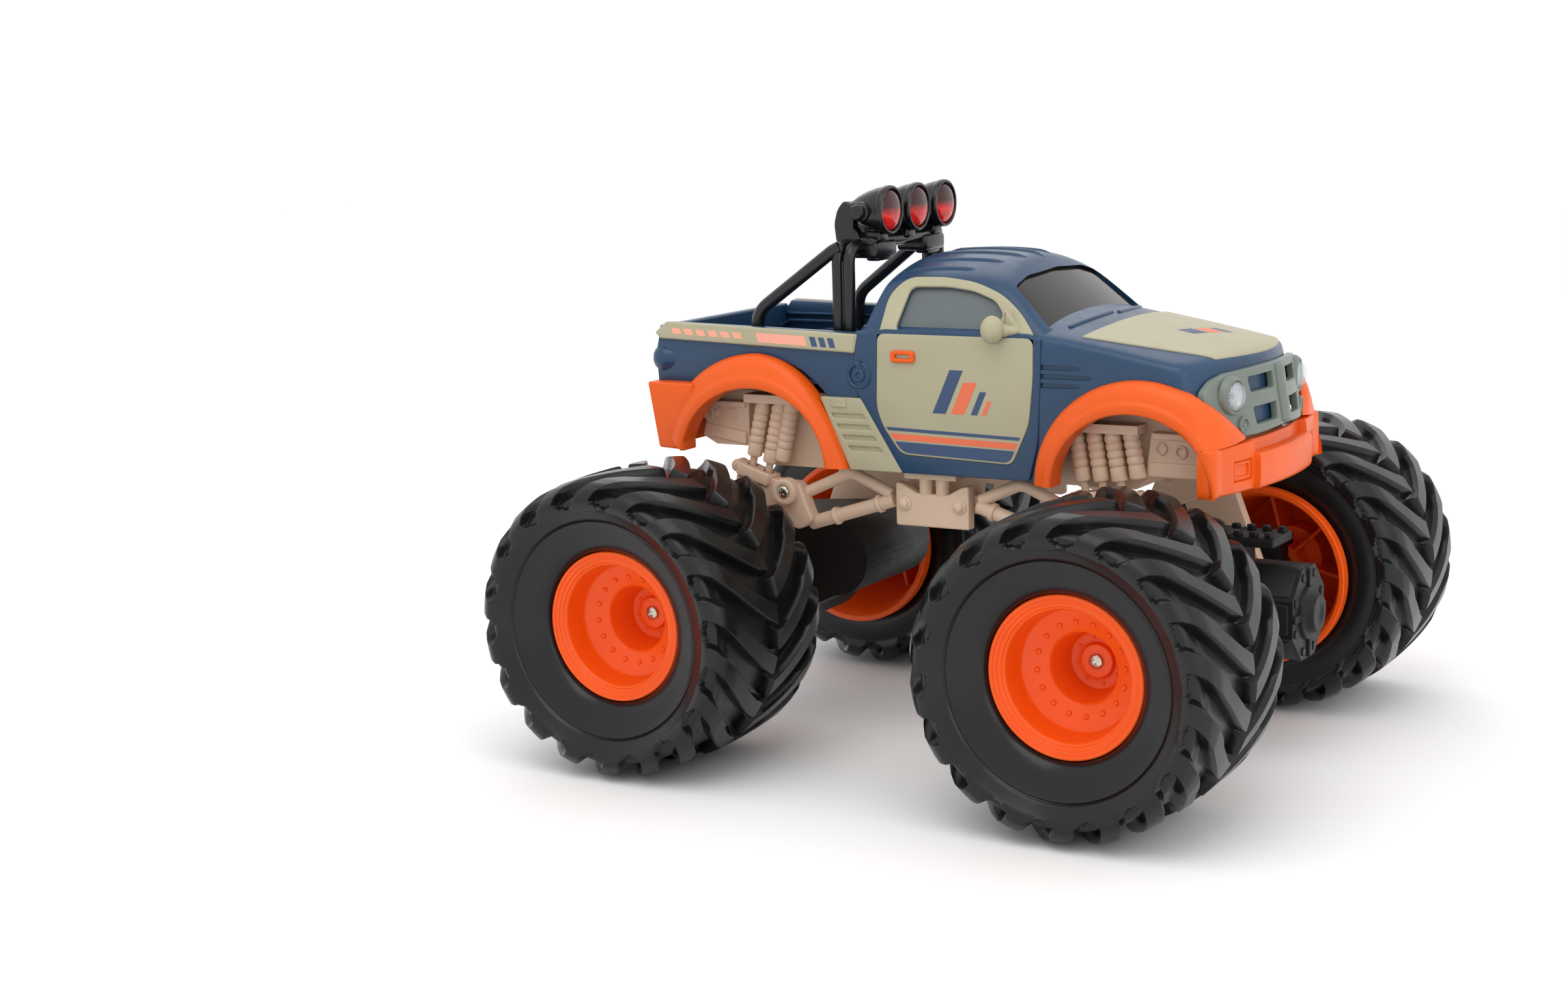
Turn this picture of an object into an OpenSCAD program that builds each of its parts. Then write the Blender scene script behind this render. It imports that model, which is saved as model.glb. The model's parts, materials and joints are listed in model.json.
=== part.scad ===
// Radio-controlled monster truck, about 1:16 scale. Millimetres.
// +X points to the nose, +Y to the truck's left, +Z up. The origin lies on the
// ground, midway between the two axles and midway between the wheels.

/* [Wheels] */
// Distance between the front and the rear axle line
wheelbase = 168; // [166:0.5:170]
// Distance between the tyre centre planes of one axle
track = 182; // [181:0.5:184]
// Outside diameter of a tyre over its lugs
tyre_d = 105; // [103:0.5:106]
// Width of a tyre at its bulge
tyre_w = 69; // [67:0.5:70]
// Number of lugs on each half of the tread
lug_count = 18; // [14:2:20]
// Depth of the grooves between the lugs
lug_depth = 4.2; // [3:0.1:4.6]
// Angle that a lug sweeps from the shoulder to the middle of the tread
lug_sweep = 30; // [20:1:36]

/* [Body] */
// Width of the body over the doors
body_w = 90; // [88:0.5:91]
// Wall thickness of the moulded shell
shell_wall = 2; // [1.6:0.1:2.2]
// Height of the rocker's lower edge above the ground
rocker_z = 99; // [98.5:0.1:99.5]
// Height of the top of the bed rails above the ground
rail_z = 149; // [148:0.5:150]
// Height of the cargo bed's floor above the ground
bed_floor_z = 130; // [129:0.5:132]
// Width across the outside of the wheel arch trims
fender_w = 104; // [102:0.5:106]

/* [Suspension] */
// Height of the link pivots above the ground
pivot_z = 88; // [87.8:0.1:88.2]
// Distance of a link pivot from the middle of the truck
pivot_x = 10.7; // [10.4:0.1:11]
// Radius of a link pivot pin
pivot_pin_r = 2; // [1.8:0.1:2.2]
// Radius of the suspension link tubes
link_r = 2.5; // [2.2:0.1:2.7]
// Lean of the rear shock absorbers from vertical
rear_shock_lean = 13; // [12:0.5:14]
// Lean of the front shock absorbers from vertical
front_shock_lean = 10; // [9:0.5:11]

/* [Drive and steering] */
// Radius of the rear shaft and of the front stub axles
shaft_r = 2; // [1.8:0.1:2.2]
// Module of the gears
gear_module = 0.8; // [0.78:0.01:0.82]
// Teeth of the gear on the rear shaft
drive_teeth = 40; // [38:1:42]
// Teeth of the idler gear
idler_teeth = 20; // [18:2:22]
// Teeth of the motor pinion
pinion_teeth = 10; // [9:1:11]
// Distance of each kingpin from the middle of the truck
kingpin_y = 66; // [65.5:0.1:66.5]
// Length of a steering arm between its kingpin and its tie rod pin
steer_arm = 16; // [15.8:0.1:16.2]

/* [Hidden] */
$fn = 48;

RIGHT = -1;
LEFT = 1;
FRONT = 1;
REAR = -1;

blue = "#2b5485";
cream = "#d6ccae";
orange = "#f26a2a";
beige = "#d9b9a2";
black = "#1c1d1f";
rubber = "#2c2f31";
sage = "#8f9a8c";
nickel = "#c9c9c4";

axle_x = wheelbase / 2;
axle_z = tyre_d / 2;
half_body = body_w / 2;
half_fender = fender_w / 2;
running = 0.06;     // radial clearance of a shaft in its bore

// ---- shared helpers -------------------------------------------------------

// Turns an outline drawn in X and Z into a slab between two values of Y
module slab(y0, y1) {
    translate([0, y1, 0]) rotate([90, 0, 0]) linear_extrude(y1 - y0) children();
}

// Mirrors something drawn on the left (+Y) to the asked side
module on_side(side) {
    mirror([0, side < 0 ? 1 : 0, 0]) children();
}

module both_sides() {
    on_side(LEFT) children();
    on_side(RIGHT) children();
}

// Mirrors something drawn at the front (+X) to the asked end
module at_end(end) {
    mirror([end < 0 ? 1 : 0, 0, 0]) children();
}

// Round bar between two points
module bar(p, q, r) {
    d = q - p;
    len = norm(d);
    translate(p) rotate([0, acos(d.z / len), atan2(d.y, d.x)])
        cylinder(h = len, r = r);
}

// Stands a shape drawn along +Z at a wheel centre, with +Z pointing outboard
module at_wheel(end, side) {
    on_side(side) translate([end * axle_x, track / 2, axle_z])
        rotate([-90, 0, 0]) children();
}

function arc(cx, cz, rx, rz, a0, a1, steps) =
    [for (i = [0:steps]) let (a = a0 + (a1 - a0) * i / steps)
        [cx + rx * cos(a), cz + rz * sin(a)]];

// ---- wheels ---------------------------------------------------------------

rim_lip_r = 26.1;       // outer lip of the rim
rim_lip_w = 23.4;       // its distance outboard of the tyre centre plane
rim_flange_r = 32.5;    // inner flange of the rim
rim_flange_w = -35.5;
rim_back_w = -40.5;
dish_floor_w = 6;       // floor of the dish, with its ring of bumps
hub_floor_w = -2.5;     // floor of the recess round the hub
hub_face_w = -0.5;      // raised face under the wheel screw
hub_back_w = -14;       // inner end of the hub boss
hub_boss_r = 6.5;

function rim_profile() = [
    [rim_lip_r, rim_lip_w], [rim_lip_r, 18], [29.8, -34],
    [rim_flange_r, rim_flange_w], [rim_flange_r, rim_back_w], [30.4, rim_back_w],
    [28, -34], [23.6, dish_floor_w - 2], [14, dish_floor_w - 2],
    [14, hub_floor_w - 2], [hub_boss_r, hub_floor_w - 2], [hub_boss_r, hub_back_w],
    [shaft_r + running, hub_back_w], [shaft_r + running, hub_face_w],
    [5.5, hub_face_w], [5.5, hub_floor_w], [12, hub_floor_w],
    [12.6, dish_floor_w], [21.4, dish_floor_w], [22.4, 21.4],
    [23.2, 22.4], [24, 22.4], [24.4, 23], [25.2, rim_lip_w]
];

module rim(end, side) {
    bump_ring_r = 17;
    bump_count = 16;
    color(orange) at_wheel(end, side) union() {
        rotate_extrude($fn = 96) polygon(rim_profile());
        for (i = [0:bump_count - 1]) rotate(i * 360 / bump_count)
            translate([bump_ring_r, 0, dish_floor_w - 0.5])
                cylinder(h = 1.2, r = 0.9, $fn = 16);
    }
}

// Rows of the tyre's section: distance outboard, radius on a lug, groove depth.
half_w = tyre_w / 2;
tyre_r = tyre_d / 2;
tread_rows = [
    [rim_lip_w, rim_lip_r + 0.2, 0],
    [half_w - 5, 37.4, 0],
    [half_w, 44.5, 1.6],
    [half_w - 2, 49, lug_depth],
    [half_w - 9, tyre_r - 0.6, lug_depth],
    [1.4, tyre_r, lug_depth],
    [0.7, tyre_r - lug_depth, 0]
];
cavity_r = tyre_r - lug_depth - 1.8;
inner_rows = [
    [-33, 30.1, 0], [-31, 32, 0], [-32, 41, 0], [-28, cavity_r, 0],
    [27, cavity_r, 0], [30, 41, 0], [25.5, 33, 0], [19, rim_lip_r + 0.4, 0]
];
inner_bead = [-half_w, 34, 0];
bead_seat = [rim_flange_w + 1.6, 30.2, 0];

function mirrored_row(row) = [-row[0], row[1], row[2]];
function tyre_rows() = concat(
    tread_rows,
    [for (i = [len(tread_rows) - 1:-1:2]) mirrored_row(tread_rows[i])],
    [inner_bead, bead_seat],
    inner_rows
);

// A lug takes the part of the pitch between its two flanks
lug_flanks = [0, 0.08, 0.5, 0.58];
function lug_angle(column, row) = let (
    pitch = 360 / lug_count,
    turn = floor(column / 4) + lug_flanks[column % 4],
    stagger = row[0] < 0 ? 0.5 : 0,
    sweep = lug_sweep * pow(min(1, abs(row[0]) / half_w), 1.3)
) (turn + stagger) * pitch + sweep;

function on_lug(column) = column % 4 == 1 || column % 4 == 2;

module tyre(end, side) {
    rows = tyre_rows();
    columns = 4 * lug_count;
    n = len(rows);
    points = [for (c = [0:columns - 1], row = rows) let (
        a = lug_angle(c, row),
        r = row[1] - (on_lug(c) ? 0 : row[2])
    ) [r * cos(a), row[0], r * sin(a)]];
    faces = [for (c = [0:columns - 1], j = [0:n - 1]) let (
        d = (c + 1) % columns,
        k = (j + 1) % n
    ) each [[c * n + j, d * n + j, d * n + k], [c * n + j, d * n + k, c * n + k]]];
    color(rubber) on_side(side)
        translate([end * axle_x, track / 2, axle_z]) polyhedron(points, faces);
}

module wheel_screw(end, side) {
    head_r = 2.3;
    at_wheel(end, side) {
        translate([0, 0, hub_face_w + 0.12]) rotate_extrude()
            polygon([[0, 0], [head_r, 0], [head_r, 0.6], [1.6, 1.3], [0, 1.5]]);
        translate([0, 0, hub_face_w - 7]) cylinder(h = 7.3, r = 1.1);
    }
}

// ---- rear axle ------------------------------------------------------------

gear_line = 16;                 // slope of the line through the gear centres
gear_y0 = 6;
gear_y1 = 12;
drive_r = drive_teeth * gear_module / 2;
idler_r = idler_teeth * gear_module / 2;
pinion_r = pinion_teeth * gear_module / 2;
idler_pos = [-axle_x + (drive_r + idler_r) * cos(gear_line),
             axle_z + (drive_r + idler_r) * sin(gear_line)];
motor_pos = [-axle_x + (drive_r + 2 * idler_r + pinion_r) * cos(gear_line),
             axle_z + (drive_r + 2 * idler_r + pinion_r) * sin(gear_line)];
motor_r = 10;
case_half_y = 24;
tube_r = 7;                     // radius of an axle tube
tube_end_y = 75;

// Gear outline with straight-flanked teeth; a tooth points along first_tooth
module gear_outline(teeth, first_tooth) {
    pitch_r = teeth * gear_module / 2;
    tip_r = pitch_r + 0.65;
    root_r = pitch_r - 0.95;
    tip_half = 0.28 / tip_r * 180 / PI;
    root_half = 0.78 / root_r * 180 / PI;
    polygon([for (i = [0:teeth - 1]) let (a = first_tooth + i * 360 / teeth)
        each [
            root_r * [cos(a - root_half), sin(a - root_half)],
            tip_r * [cos(a - tip_half), sin(a - tip_half)],
            tip_r * [cos(a + tip_half), sin(a + tip_half)],
            root_r * [cos(a + root_half), sin(a + root_half)]
        ]]);
}

module rear_case_outline(inset) {
    translate([-axle_x, axle_z]) circle(r = 21.5 - inset, $fn = 64);
    translate(motor_pos) circle(r = 14 - inset);
    polygon([
        [-axle_x, axle_z + 21.5 - inset], [motor_pos.x, motor_pos.y + 14 - inset],
        [motor_pos.x, motor_pos.y - 14 + inset], [-axle_x, axle_z - 21.5 + inset]
    ]);
}

module rear_case() {
    difference() {
        union() {
            slab(-case_half_y, case_half_y) rear_case_outline(0);
            slab(-tube_end_y, tube_end_y)
                translate([-axle_x, axle_z]) circle(r = tube_r);
        }
        slab(2 - case_half_y, case_half_y - 2) rear_case_outline(2);
        slab(-100, 100) translate([-axle_x, axle_z]) circle(r = shaft_r + running);
        slab(-100, 100) translate(idler_pos) circle(r = 1.5 + running);
    }
}

split_box = [240, 200, 100];    // box that keeps one half of the axle case

module rear_case_top() {
    color(black) intersection() {
        rear_case();
        translate([-split_box.x, -split_box.y / 2, axle_z]) cube(split_box);
    }
}

module rear_case_bottom() {
    color(black) intersection() {
        rear_case();
        translate([-split_box.x, -split_box.y / 2, axle_z - split_box.z])
            cube(split_box);
    }
}

module drive_motor() {
    color(nickel) difference() {
        union() {
            slab(-21, 3) translate(motor_pos) circle(r = motor_r);
            slab(3, 4.5) translate(motor_pos) circle(r = 3);
        }
        slab(-3, 5) translate(motor_pos) circle(r = 1 + running);
    }
}

module motor_pinion() {
    color("goldenrod") {
        slab(-2.5, 14) translate(motor_pos) circle(r = 1);
        slab(gear_y0, gear_y1) translate(motor_pos)
            gear_outline(pinion_teeth, gear_line + 180);
    }
}

module idler_gear() {
    color("ivory") {
        slab(-case_half_y, case_half_y) translate(idler_pos) circle(r = 1.5);
        slab(gear_y0, gear_y1) translate(idler_pos)
            gear_outline(idler_teeth, gear_line + 180 / idler_teeth);
    }
}

module drive_gear() {
    color("ivory") slab(gear_y0, gear_y1) difference() {
        translate([-axle_x, axle_z]) gear_outline(drive_teeth, gear_line);
        translate([-axle_x, axle_z]) circle(r = shaft_r + 0.02);
    }
}

module rear_shaft() {
    shaft_end_y = track / 2 + hub_face_w - 0.2;
    color(nickel) difference() {
        slab(-shaft_end_y, shaft_end_y)
            translate([-axle_x, axle_z]) circle(r = shaft_r);
        both_sides() slab(shaft_end_y - 9, shaft_end_y + 1)
            translate([-axle_x, axle_z]) circle(r = 1.15);
    }
}

// ---- suspension links -----------------------------------------------------

link_y = 37;            // plane of the link tubes
plate_y0 = 36;
plate_y1 = 42;
boss_x = 57.1;          // screw boss on the axle plate
boss_z = 89.6;
rod_r = 1.35;
shock_bore_r = 1.75;
shock_y = 38;

// Link and axle plate at the front left; the rear one is its mirror image.
// tray is the outline under the shock rods, rods lists where they stand on it.
module link(tray, rods, lean) {
    low_end = [49, link_y, 78];
    eye_end = [16.2, link_y, 88.3];
    collars = [0.28, 0.82];
    color(beige) difference() {
        union() {
            bar(low_end, eye_end, link_r);
            for (t = collars) {
                c = low_end + (eye_end - low_end) * t;
                d = (eye_end - low_end) / norm(eye_end - low_end);
                bar(c - d * 0.8, c + d * 0.8, link_r + 0.7);
            }
            bar([54.5, link_y, 88.1], [33.2, link_y, 97.2], link_r - 0.2);
            bar([33.2, link_y, 97.2], [17, link_y, 90.2], link_r - 0.6);
            slab(31.2, 35.2) hull() {
                translate([pivot_x, pivot_z]) circle(r = 3.6, $fn = 32);
                translate([17.5, 88.6]) circle(r = 2.6, $fn = 32);
            }
            slab(plate_y0, plate_y1) polygon([
                [53.2, 75.5], [47, 79.5], [49.5, 84], [53, 93],
                [60, 93.2], [75, 95.5], [79, 95], [79, 91], [73, 84], [62, 79]
            ]);
            slab(plate_y0, plate_y1) polygon([
                [59, 92], [79, 93], [92, axle_z], [77, axle_z], [60, 79]
            ]);
            slab(plate_y0, plate_y1)
                translate([axle_x, axle_z]) circle(r = tube_r + 3);
            slab(35, 43) polygon(tray);
            slab(plate_y1, 45.5) translate([boss_x, boss_z]) circle(r = 4.3);
            slab(34.5, 41) translate([79.5, 96]) circle(r = 2);
        }
        slab(30, 36) translate([pivot_x, pivot_z])
            circle(r = pivot_pin_r + running);
        slab(plate_y0 - 1, plate_y1 + 1)
            translate([axle_x, axle_z]) circle(r = tube_r + 0.02);
        slab(plate_y1, 46) translate([boss_x, boss_z]) circle(r = 1.15);
        for (p = rods) translate([p.x, shock_y, p.y]) rotate([0, -lean, 0])
            translate([0, 0, -2]) cylinder(h = 6, r = rod_r + 0.65);
    }
}

module link_screw() {
    slab(plate_y1 + 0.5, 45.5) translate([boss_x, boss_z]) circle(r = 1.1);
    translate([boss_x, 45.5, boss_z]) rotate([-90, 0, 0]) rotate_extrude()
        polygon([[0, 0], [2, 0], [2, 0.5], [1.4, 1.1], [0, 1.3]]);
}

// Where the shock rods stand on the trays: X from the middle, and Z
rear_rods = [[74, 97.6], [67.4, 95.4]];
front_rods = [[57, 96.2], [63.5, 96.6], [70, 97]];
rear_tray = [[77.6, 98.8], [63.6, 94.2], [64.6, 91], [78.6, 95.6]];
front_tray = [[53, 96], [74, 97.3], [74.2, 94], [53.2, 92.8]];

// A shock absorber drawn standing on its tray, with +Z up along its axis
gap_under_body = 3.4;   // bare rod between the tray and the ribbed body
rod_inside = 6;         // rod inside the body at rest
rib_pitch = 2.7;
body_r = 2.75;

module on_shock_axis(end, p, lean) {
    both_sides() at_end(end) translate([p.x, shock_y, p.y])
        rotate([0, -lean, 0]) children();
}

module shock_body(length, bottom) {
    ribs = floor(length / rib_pitch);
    translate([0, 0, bottom]) rotate_extrude($fn = 32) polygon(concat(
        [[shock_bore_r, 0]],
        [for (i = [0:ribs - 1], q = [[-0.4, 0], [0, 0.5], [0, 1.6], [-0.4, 2.2]])
            [body_r + q.x, i * rib_pitch + q.y]],
        [[body_r - 0.4, length], [shock_bore_r, length]]
    ));
}

module shock_rod() {
    translate([0, 0, -1.5]) cylinder(h = gap_under_body + rod_inside, r = rod_r);
    translate([0, 0, gap_under_body + rod_inside - 1.5])
        cylinder(h = 1.5, r = shock_bore_r - 0.1);
}

rear_body_len = 23;
front_body_len = 18;
rear_tower_z = 120.5;   // undersides of the shelves that the bodies hang from
front_tower_z = 116.5;

module shock_bodies() {
    color(beige) difference() {
        union() {
            for (p = rear_rods) on_shock_axis(REAR, p, rear_shock_lean)
                shock_body(rear_body_len, gap_under_body);
            on_shock_axis(REAR, [61.5, 99.5], rear_shock_lean) shock_body(22.5, 0);
            for (p = front_rods) on_shock_axis(FRONT, p, front_shock_lean)
                shock_body(front_body_len, gap_under_body);
            on_shock_axis(FRONT, [76, 101.5], front_shock_lean) shock_body(16.5, 0);
        }
        translate([-100, -50, rear_tower_z]) cube([100, 100, 10]);
        translate([0, -50, front_tower_z]) cube([100, 100, 10]);
    }
}

module springs(end, rods, lean, length) {
    spring_start = gap_under_body + rod_inside + 0.1;
    color(nickel) for (p = rods) on_shock_axis(end, p, lean)
        translate([0, 0, spring_start]) difference() {
            cylinder(h = length - rod_inside - 3.8, r = shock_bore_r - 0.1);
            translate([0, 0, -1]) cylinder(h = length, r = shock_bore_r - 0.6);
        }
}

// ---- front axle -----------------------------------------------------------

hub_gap = 8.8;          // half the height of the gap that a knuckle turns in
arm_z = axle_z - 6.5;   // plane of the steering arms
servo_x = 54;           // axis of the servo's output
servo_arm_len = axle_x - steer_arm - servo_x;
steer_pin_r = 1.2;

module front_axle_case() {
    octagon_r = 16.8;
    color(black) difference() {
        union() {
            slab(-22, 22) polygon([
                [73, 44], [77, 37.5], [94, 37.5], [94, 70], [90, 76], [76, 76], [73, 68]
            ]);
            translate([93, 0, axle_z + 0.5]) rotate([0, 90, 0])
                rotate(22.5) cylinder(h = 28, r = octagon_r, $fn = 8);
            translate([120, 0, axle_z + 0.5]) rotate([0, 90, 0])
                cylinder(h = 4, r1 = 8, r2 = 6.5);
            slab(-60, 60) translate([axle_x, axle_z]) circle(r = 6.5);
            translate([axle_x - 6, -8, 76]) cube([18, 16, 3]);
            both_sides() difference() {
                translate([axle_x - 6, 56, axle_z - hub_gap - 4])
                    cube([12, kingpin_y - 50, 2 * hub_gap + 8]);
                translate([axle_x - 7, 60.4, axle_z - hub_gap])
                    cube([14, 20, 2 * hub_gap]);
            }
        }
        both_sides() translate([axle_x, kingpin_y, axle_z - 20])
            cylinder(h = 40, r = 2 + running);
    }
}

module knuckle(side) {
    hub_h = 2 * hub_gap - 0.6;
    arm_t = 3;
    color(black) on_side(side) difference() {
        union() {
            translate([axle_x - 4.5, kingpin_y - 4.3, axle_z - hub_h / 2])
                cube([9, 9.2, hub_h]);
            translate([axle_x, kingpin_y, axle_z - hub_gap - 4])
                cylinder(h = 2 * hub_gap + 8, r = 2);
            slab(kingpin_y, 76) translate([axle_x, axle_z]) circle(r = 4);
            slab(76, track / 2 + hub_face_w - 0.2)
                translate([axle_x, axle_z]) circle(r = shaft_r);
            translate([axle_x - steer_arm, kingpin_y - 2.5, arm_z - arm_t / 2])
                cube([steer_arm - 2, 5, arm_t]);
            translate([axle_x - steer_arm, kingpin_y, arm_z - arm_t / 2])
                cylinder(h = arm_t, r = 2.5);
            translate([axle_x - steer_arm, kingpin_y, arm_z - 6])
                cylinder(h = 6, r = steer_pin_r);
        }
        slab(track / 2 + hub_face_w - 9, track / 2 + 2)
            translate([axle_x, axle_z]) circle(r = 1.15);
    }
}

module tie_rod() {
    rod_z = arm_z - 5.5;
    rod_t = 3;
    pin_x = axle_x - steer_arm;
    color(black) difference() {
        union() {
            translate([pin_x - 1.5, -kingpin_y, rod_z]) cube([3, 2 * kingpin_y, rod_t]);
            for (y = [-kingpin_y, kingpin_y]) translate([pin_x, y, rod_z])
                cylinder(h = rod_t, r = 3.4);
            translate([pin_x - 3.6, -4, rod_z]) cube([7.2, 8, rod_t]);
        }
        for (y = [-kingpin_y, kingpin_y]) translate([pin_x, y, rod_z - 1])
            cylinder(h = rod_t + 2, r = steer_pin_r + 0.8);
        translate([pin_x - 2.1, -steer_pin_r - 0.2, rod_z - 1])
            cube([4.2, 2 * steer_pin_r + 0.4, rod_t + 2]);
    }
}

module steering_servo() {
    color("#303336") difference() {
        union() {
            translate([servo_x - 9, -9, axle_z - 5]) cube([24, 18, 24]);
            translate([servo_x + 15, -5, axle_z]) cube([4, 10, 13]);
        }
        translate([servo_x, 0, axle_z - 6]) cylinder(h = 10, r = 1.5 + running);
    }
}

module servo_arm() {
    arm_low = arm_z - 9;
    color(black) {
        translate([servo_x, 0, arm_low]) cylinder(h = 9 + 9, r = 1.5, $fn = 32);
        translate([servo_x, 0, arm_low]) cylinder(h = 3, r = 3.4);
        translate([servo_x, -1.8, arm_low]) cube([servo_arm_len, 3.6, 3]);
        translate([servo_x + servo_arm_len, 0, arm_low]) cylinder(h = 3, r = 1.8);
        translate([servo_x + servo_arm_len, 0, arm_low])
            cylinder(h = 6.5, r = steer_pin_r);
    }
}

// ---- chassis --------------------------------------------------------------

belly_z = 97;
tub_half = 33;
tub_x0 = -97;
tub_x1 = 97;
tub_top = 124;
tub_wall = 2;
door_x0 = -42;
door_x1 = 12;
door_half = 17;
hinge_x = door_x1 - 1.4;
hinge_z = belly_z + 1.8;
hinge_pin_r = 0.8;
bracket_dip_z = 91;     // dip in a pivot bracket's top, under its two posts
switch_y = -25;
switch_x = 32;
switch_travel = 4;

// Side outline of the tub moved inwards by inset; its underside steps up at both ends
module tub_outline(inset, top) {
    polygon([
        [tub_x0 + inset, top], [tub_x0 + inset, 106 + inset], [-76, 104 + inset],
        [-68 + inset, belly_z + inset], [73 - inset, belly_z + inset],
        [79, 103 + inset], [tub_x1 - inset, 103 + inset], [tub_x1 - inset, top]
    ]);
}

module chassis_tub() {
    color(beige) difference() {
        union() {
            difference() {
                slab(-tub_half, tub_half) tub_outline(0, tub_top);
                slab(tub_wall - tub_half, tub_half - tub_wall)
                    tub_outline(tub_wall, tub_top + 15);
            }
            both_sides() {
                translate([-75, tub_half - 0.5, rear_tower_z]) cube([25, 9, 3]);
                translate([48, tub_half - 0.5, front_tower_z]) cube([29, 9, 3]);
                slab(tub_half - 0.5, 36.5) polygon([
                    [-96, 107], [-92, 120], [-76, 120], [-76, 104], [-90, 104]
                ]);
                slab(tub_half - 0.5, 36.5) polygon([
                    [100, 102], [97, 117], [80, 117], [78, 102]
                ]);
                slab(28, 30.8) polygon([
                    [-15, belly_z + 1], [15, belly_z + 1],
                    [14, pivot_z - 4], [-14, pivot_z - 4]
                ]);
                translate([-10, tub_half - 0.5, belly_z]) cube([20, 9, 4]);
                translate([hinge_x - 2.5, door_half + 0.3, belly_z]) cube([5, 3, 4]);
                for (x = [-3.2, 3.2]) translate([x, 38, bracket_dip_z])
                    cylinder(h = belly_z + 0.5 - bracket_dip_z, r = 2.4);
            }
        }
        both_sides() for (x = [-pivot_x, pivot_x])
            slab(27, 32) translate([x, pivot_z]) circle(r = pivot_pin_r + 0.02);
        translate([door_x0, -door_half, belly_z - 1])
            cube([door_x1 + 1 - door_x0, 2 * door_half, tub_wall + 2]);
        both_sides() slab(door_half - 1, door_half + 4)
            translate([hinge_x, hinge_z]) circle(r = hinge_pin_r + running);
        translate([switch_x - 3, switch_y - 2, belly_z - 1])
            cube([6 + switch_travel, 4, tub_wall + 2]);
    }
}

module pivot_brackets() {
    color(beige) both_sides() {
        slab(35.7, 40.2) polygon([
            [-14.2, 80], [14.2, 80], [14.2, 95],
            [6, bracket_dip_z], [-6, bracket_dip_z], [-14.2, 95]
        ]);
        for (x = [-pivot_x, pivot_x]) {
            slab(28.2, 36) translate([x, pivot_z]) circle(r = pivot_pin_r);
            translate([x, 40.2, pivot_z]) rotate([-90, 0, 0]) rotate_extrude()
                polygon([[0, -0.2], [2.6, -0.2], [2.6, 0.5], [2, 0.7], [1.7, 1.6], [0, 1.8]]);
        }
    }
}

module battery_cells() {
    cell_r = 7.2;
    cell_len = 48;
    cell_x0 = -39;
    color("#3c7a4a") for (y = [-7.4, 7.4], z = [106.4, 120.9])
        translate([cell_x0, y, z]) rotate([0, 90, 0]) union() {
            cylinder(h = cell_len, r = cell_r);
            translate([0, 0, cell_len]) cylinder(h = 1.2, r = 2.7);
        }
}

module battery_door() {
    gap = 0.3;
    half = door_half - gap;
    color(beige) union() {
        translate([door_x0 + gap, -half, belly_z])
            cube([hinge_x - door_x0 - gap, 2 * half, 1.6]);
        slab(-half, half) translate([hinge_x, hinge_z]) circle(r = 1.2);
        slab(-half - 2.5, half + 2.5) translate([hinge_x, hinge_z])
            circle(r = hinge_pin_r);
    }
}

module receiver_board() {
    color("darkgreen") translate([22, -20, 105]) cube([38, 40, 1.4]);
    color(black) for (p = [[28, -12], [42, 4], [30, 8]])
        translate([p.x, p.y, 106.4]) cube([8, 8, 2]);
    color(beige) for (x = [25, 57], y = [-17, 17]) translate([x, y, 99])
        cylinder(h = 6, r = 2);
}

module power_switch() {
    color(black) {
        translate([switch_x - 2.6, switch_y - 1.6, belly_z - 1.2]) cube([5.2, 3.2, 3.6]);
        translate([switch_x - 5, switch_y - 4, belly_z + 2.3]) cube([10, 8, 1.4]);
    }
}

// ---- body -----------------------------------------------------------------

front_arch = [79.5, 99];        // centre of the front wheel arch
rear_arch = [-66, 100];         // centre of the rear wheel arch
hood_rear = [46.4, 148.6];
hood_front = [106, 141.5];
belt_z = 147;

// Outline of the blue shell from the side
function shell_outline() = concat(
    [[-109, 128]],
    arc(rear_arch.x, rear_arch.y, 37.6, 39.1, 134, 41, 16),
    [[-25.4, rear_arch.y], [-25.4, rocker_z], [42.2, rocker_z]],
    arc(front_arch.x, front_arch.y, 37.3, 36.2, 180, 38, 16),
    [[109, 137], [108, 140], hood_front, hood_rear,
     [-24, rail_z - 1.5], [-104, rail_z], [-109, 144], [-110, 138]]
);

headlight_y = 30.5;
headlight_z = 130.5;

// Plan outline of the nose, moved back by inset
nose_x = 111.2;
nose_curve = 0.0068;
function nose_line(inset) =
    [for (y = [-38:4:38]) [nose_x - nose_curve * y * y - inset, y]];

module shell_plan(inset) {
    side = half_body - inset;
    polygon(concat(
        [[-112 + inset, -side], [88, -side]],
        nose_line(3.2 + inset),
        [[88, side], [-112 + inset, side]]
    ));
}

// Cab above the belt line, scaled by k about a point inside it
module cab(k) {
    mid = [8, 0, -2];
    side_corners = [
        [-26, 43.5, 0], [46.4, 40, 1], [28.5, 33.5, 18], [-19, 33.5, 17.5],
        [-12, 17, 23.5], [17, 17, 24.5]
    ];
    corners = concat(
        [for (c = side_corners, s = [-1, 1]) [c.x, s * c.y, c.z]],
        [[-17, 0, 22.5], [2, 0, 25.6], [30, 0, 22]]
    );
    translate([mid.x, mid.y, belt_z + mid.z]) hull()
        polyhedron([for (c = corners) k * (c - mid)], [[for (i = [0:14]) i]]);
}

// Door window and its frame, seen from the side
window_outline = [[-11, 148.6], [21, 148.6], [28.5, 156], [23, 159.5], [9, 162.6], [-7.6, 162.2]];
frame_outline = [[-17, 148.8], [34, 148.8], [30, 156], [24, 161], [8, 165], [-9, 164.6]];

module screen_outline() {
    polygon([[-36, 151], [36, 151], [31, 163], [-31, 163]]);
}

// A screen's outline, drawn in Y and Z, stretched along X
module along_x(x0, x1) {
    translate([x0, 0, 0]) rotate([90, 0, 90]) linear_extrude(x1 - x0) children();
}

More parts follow.
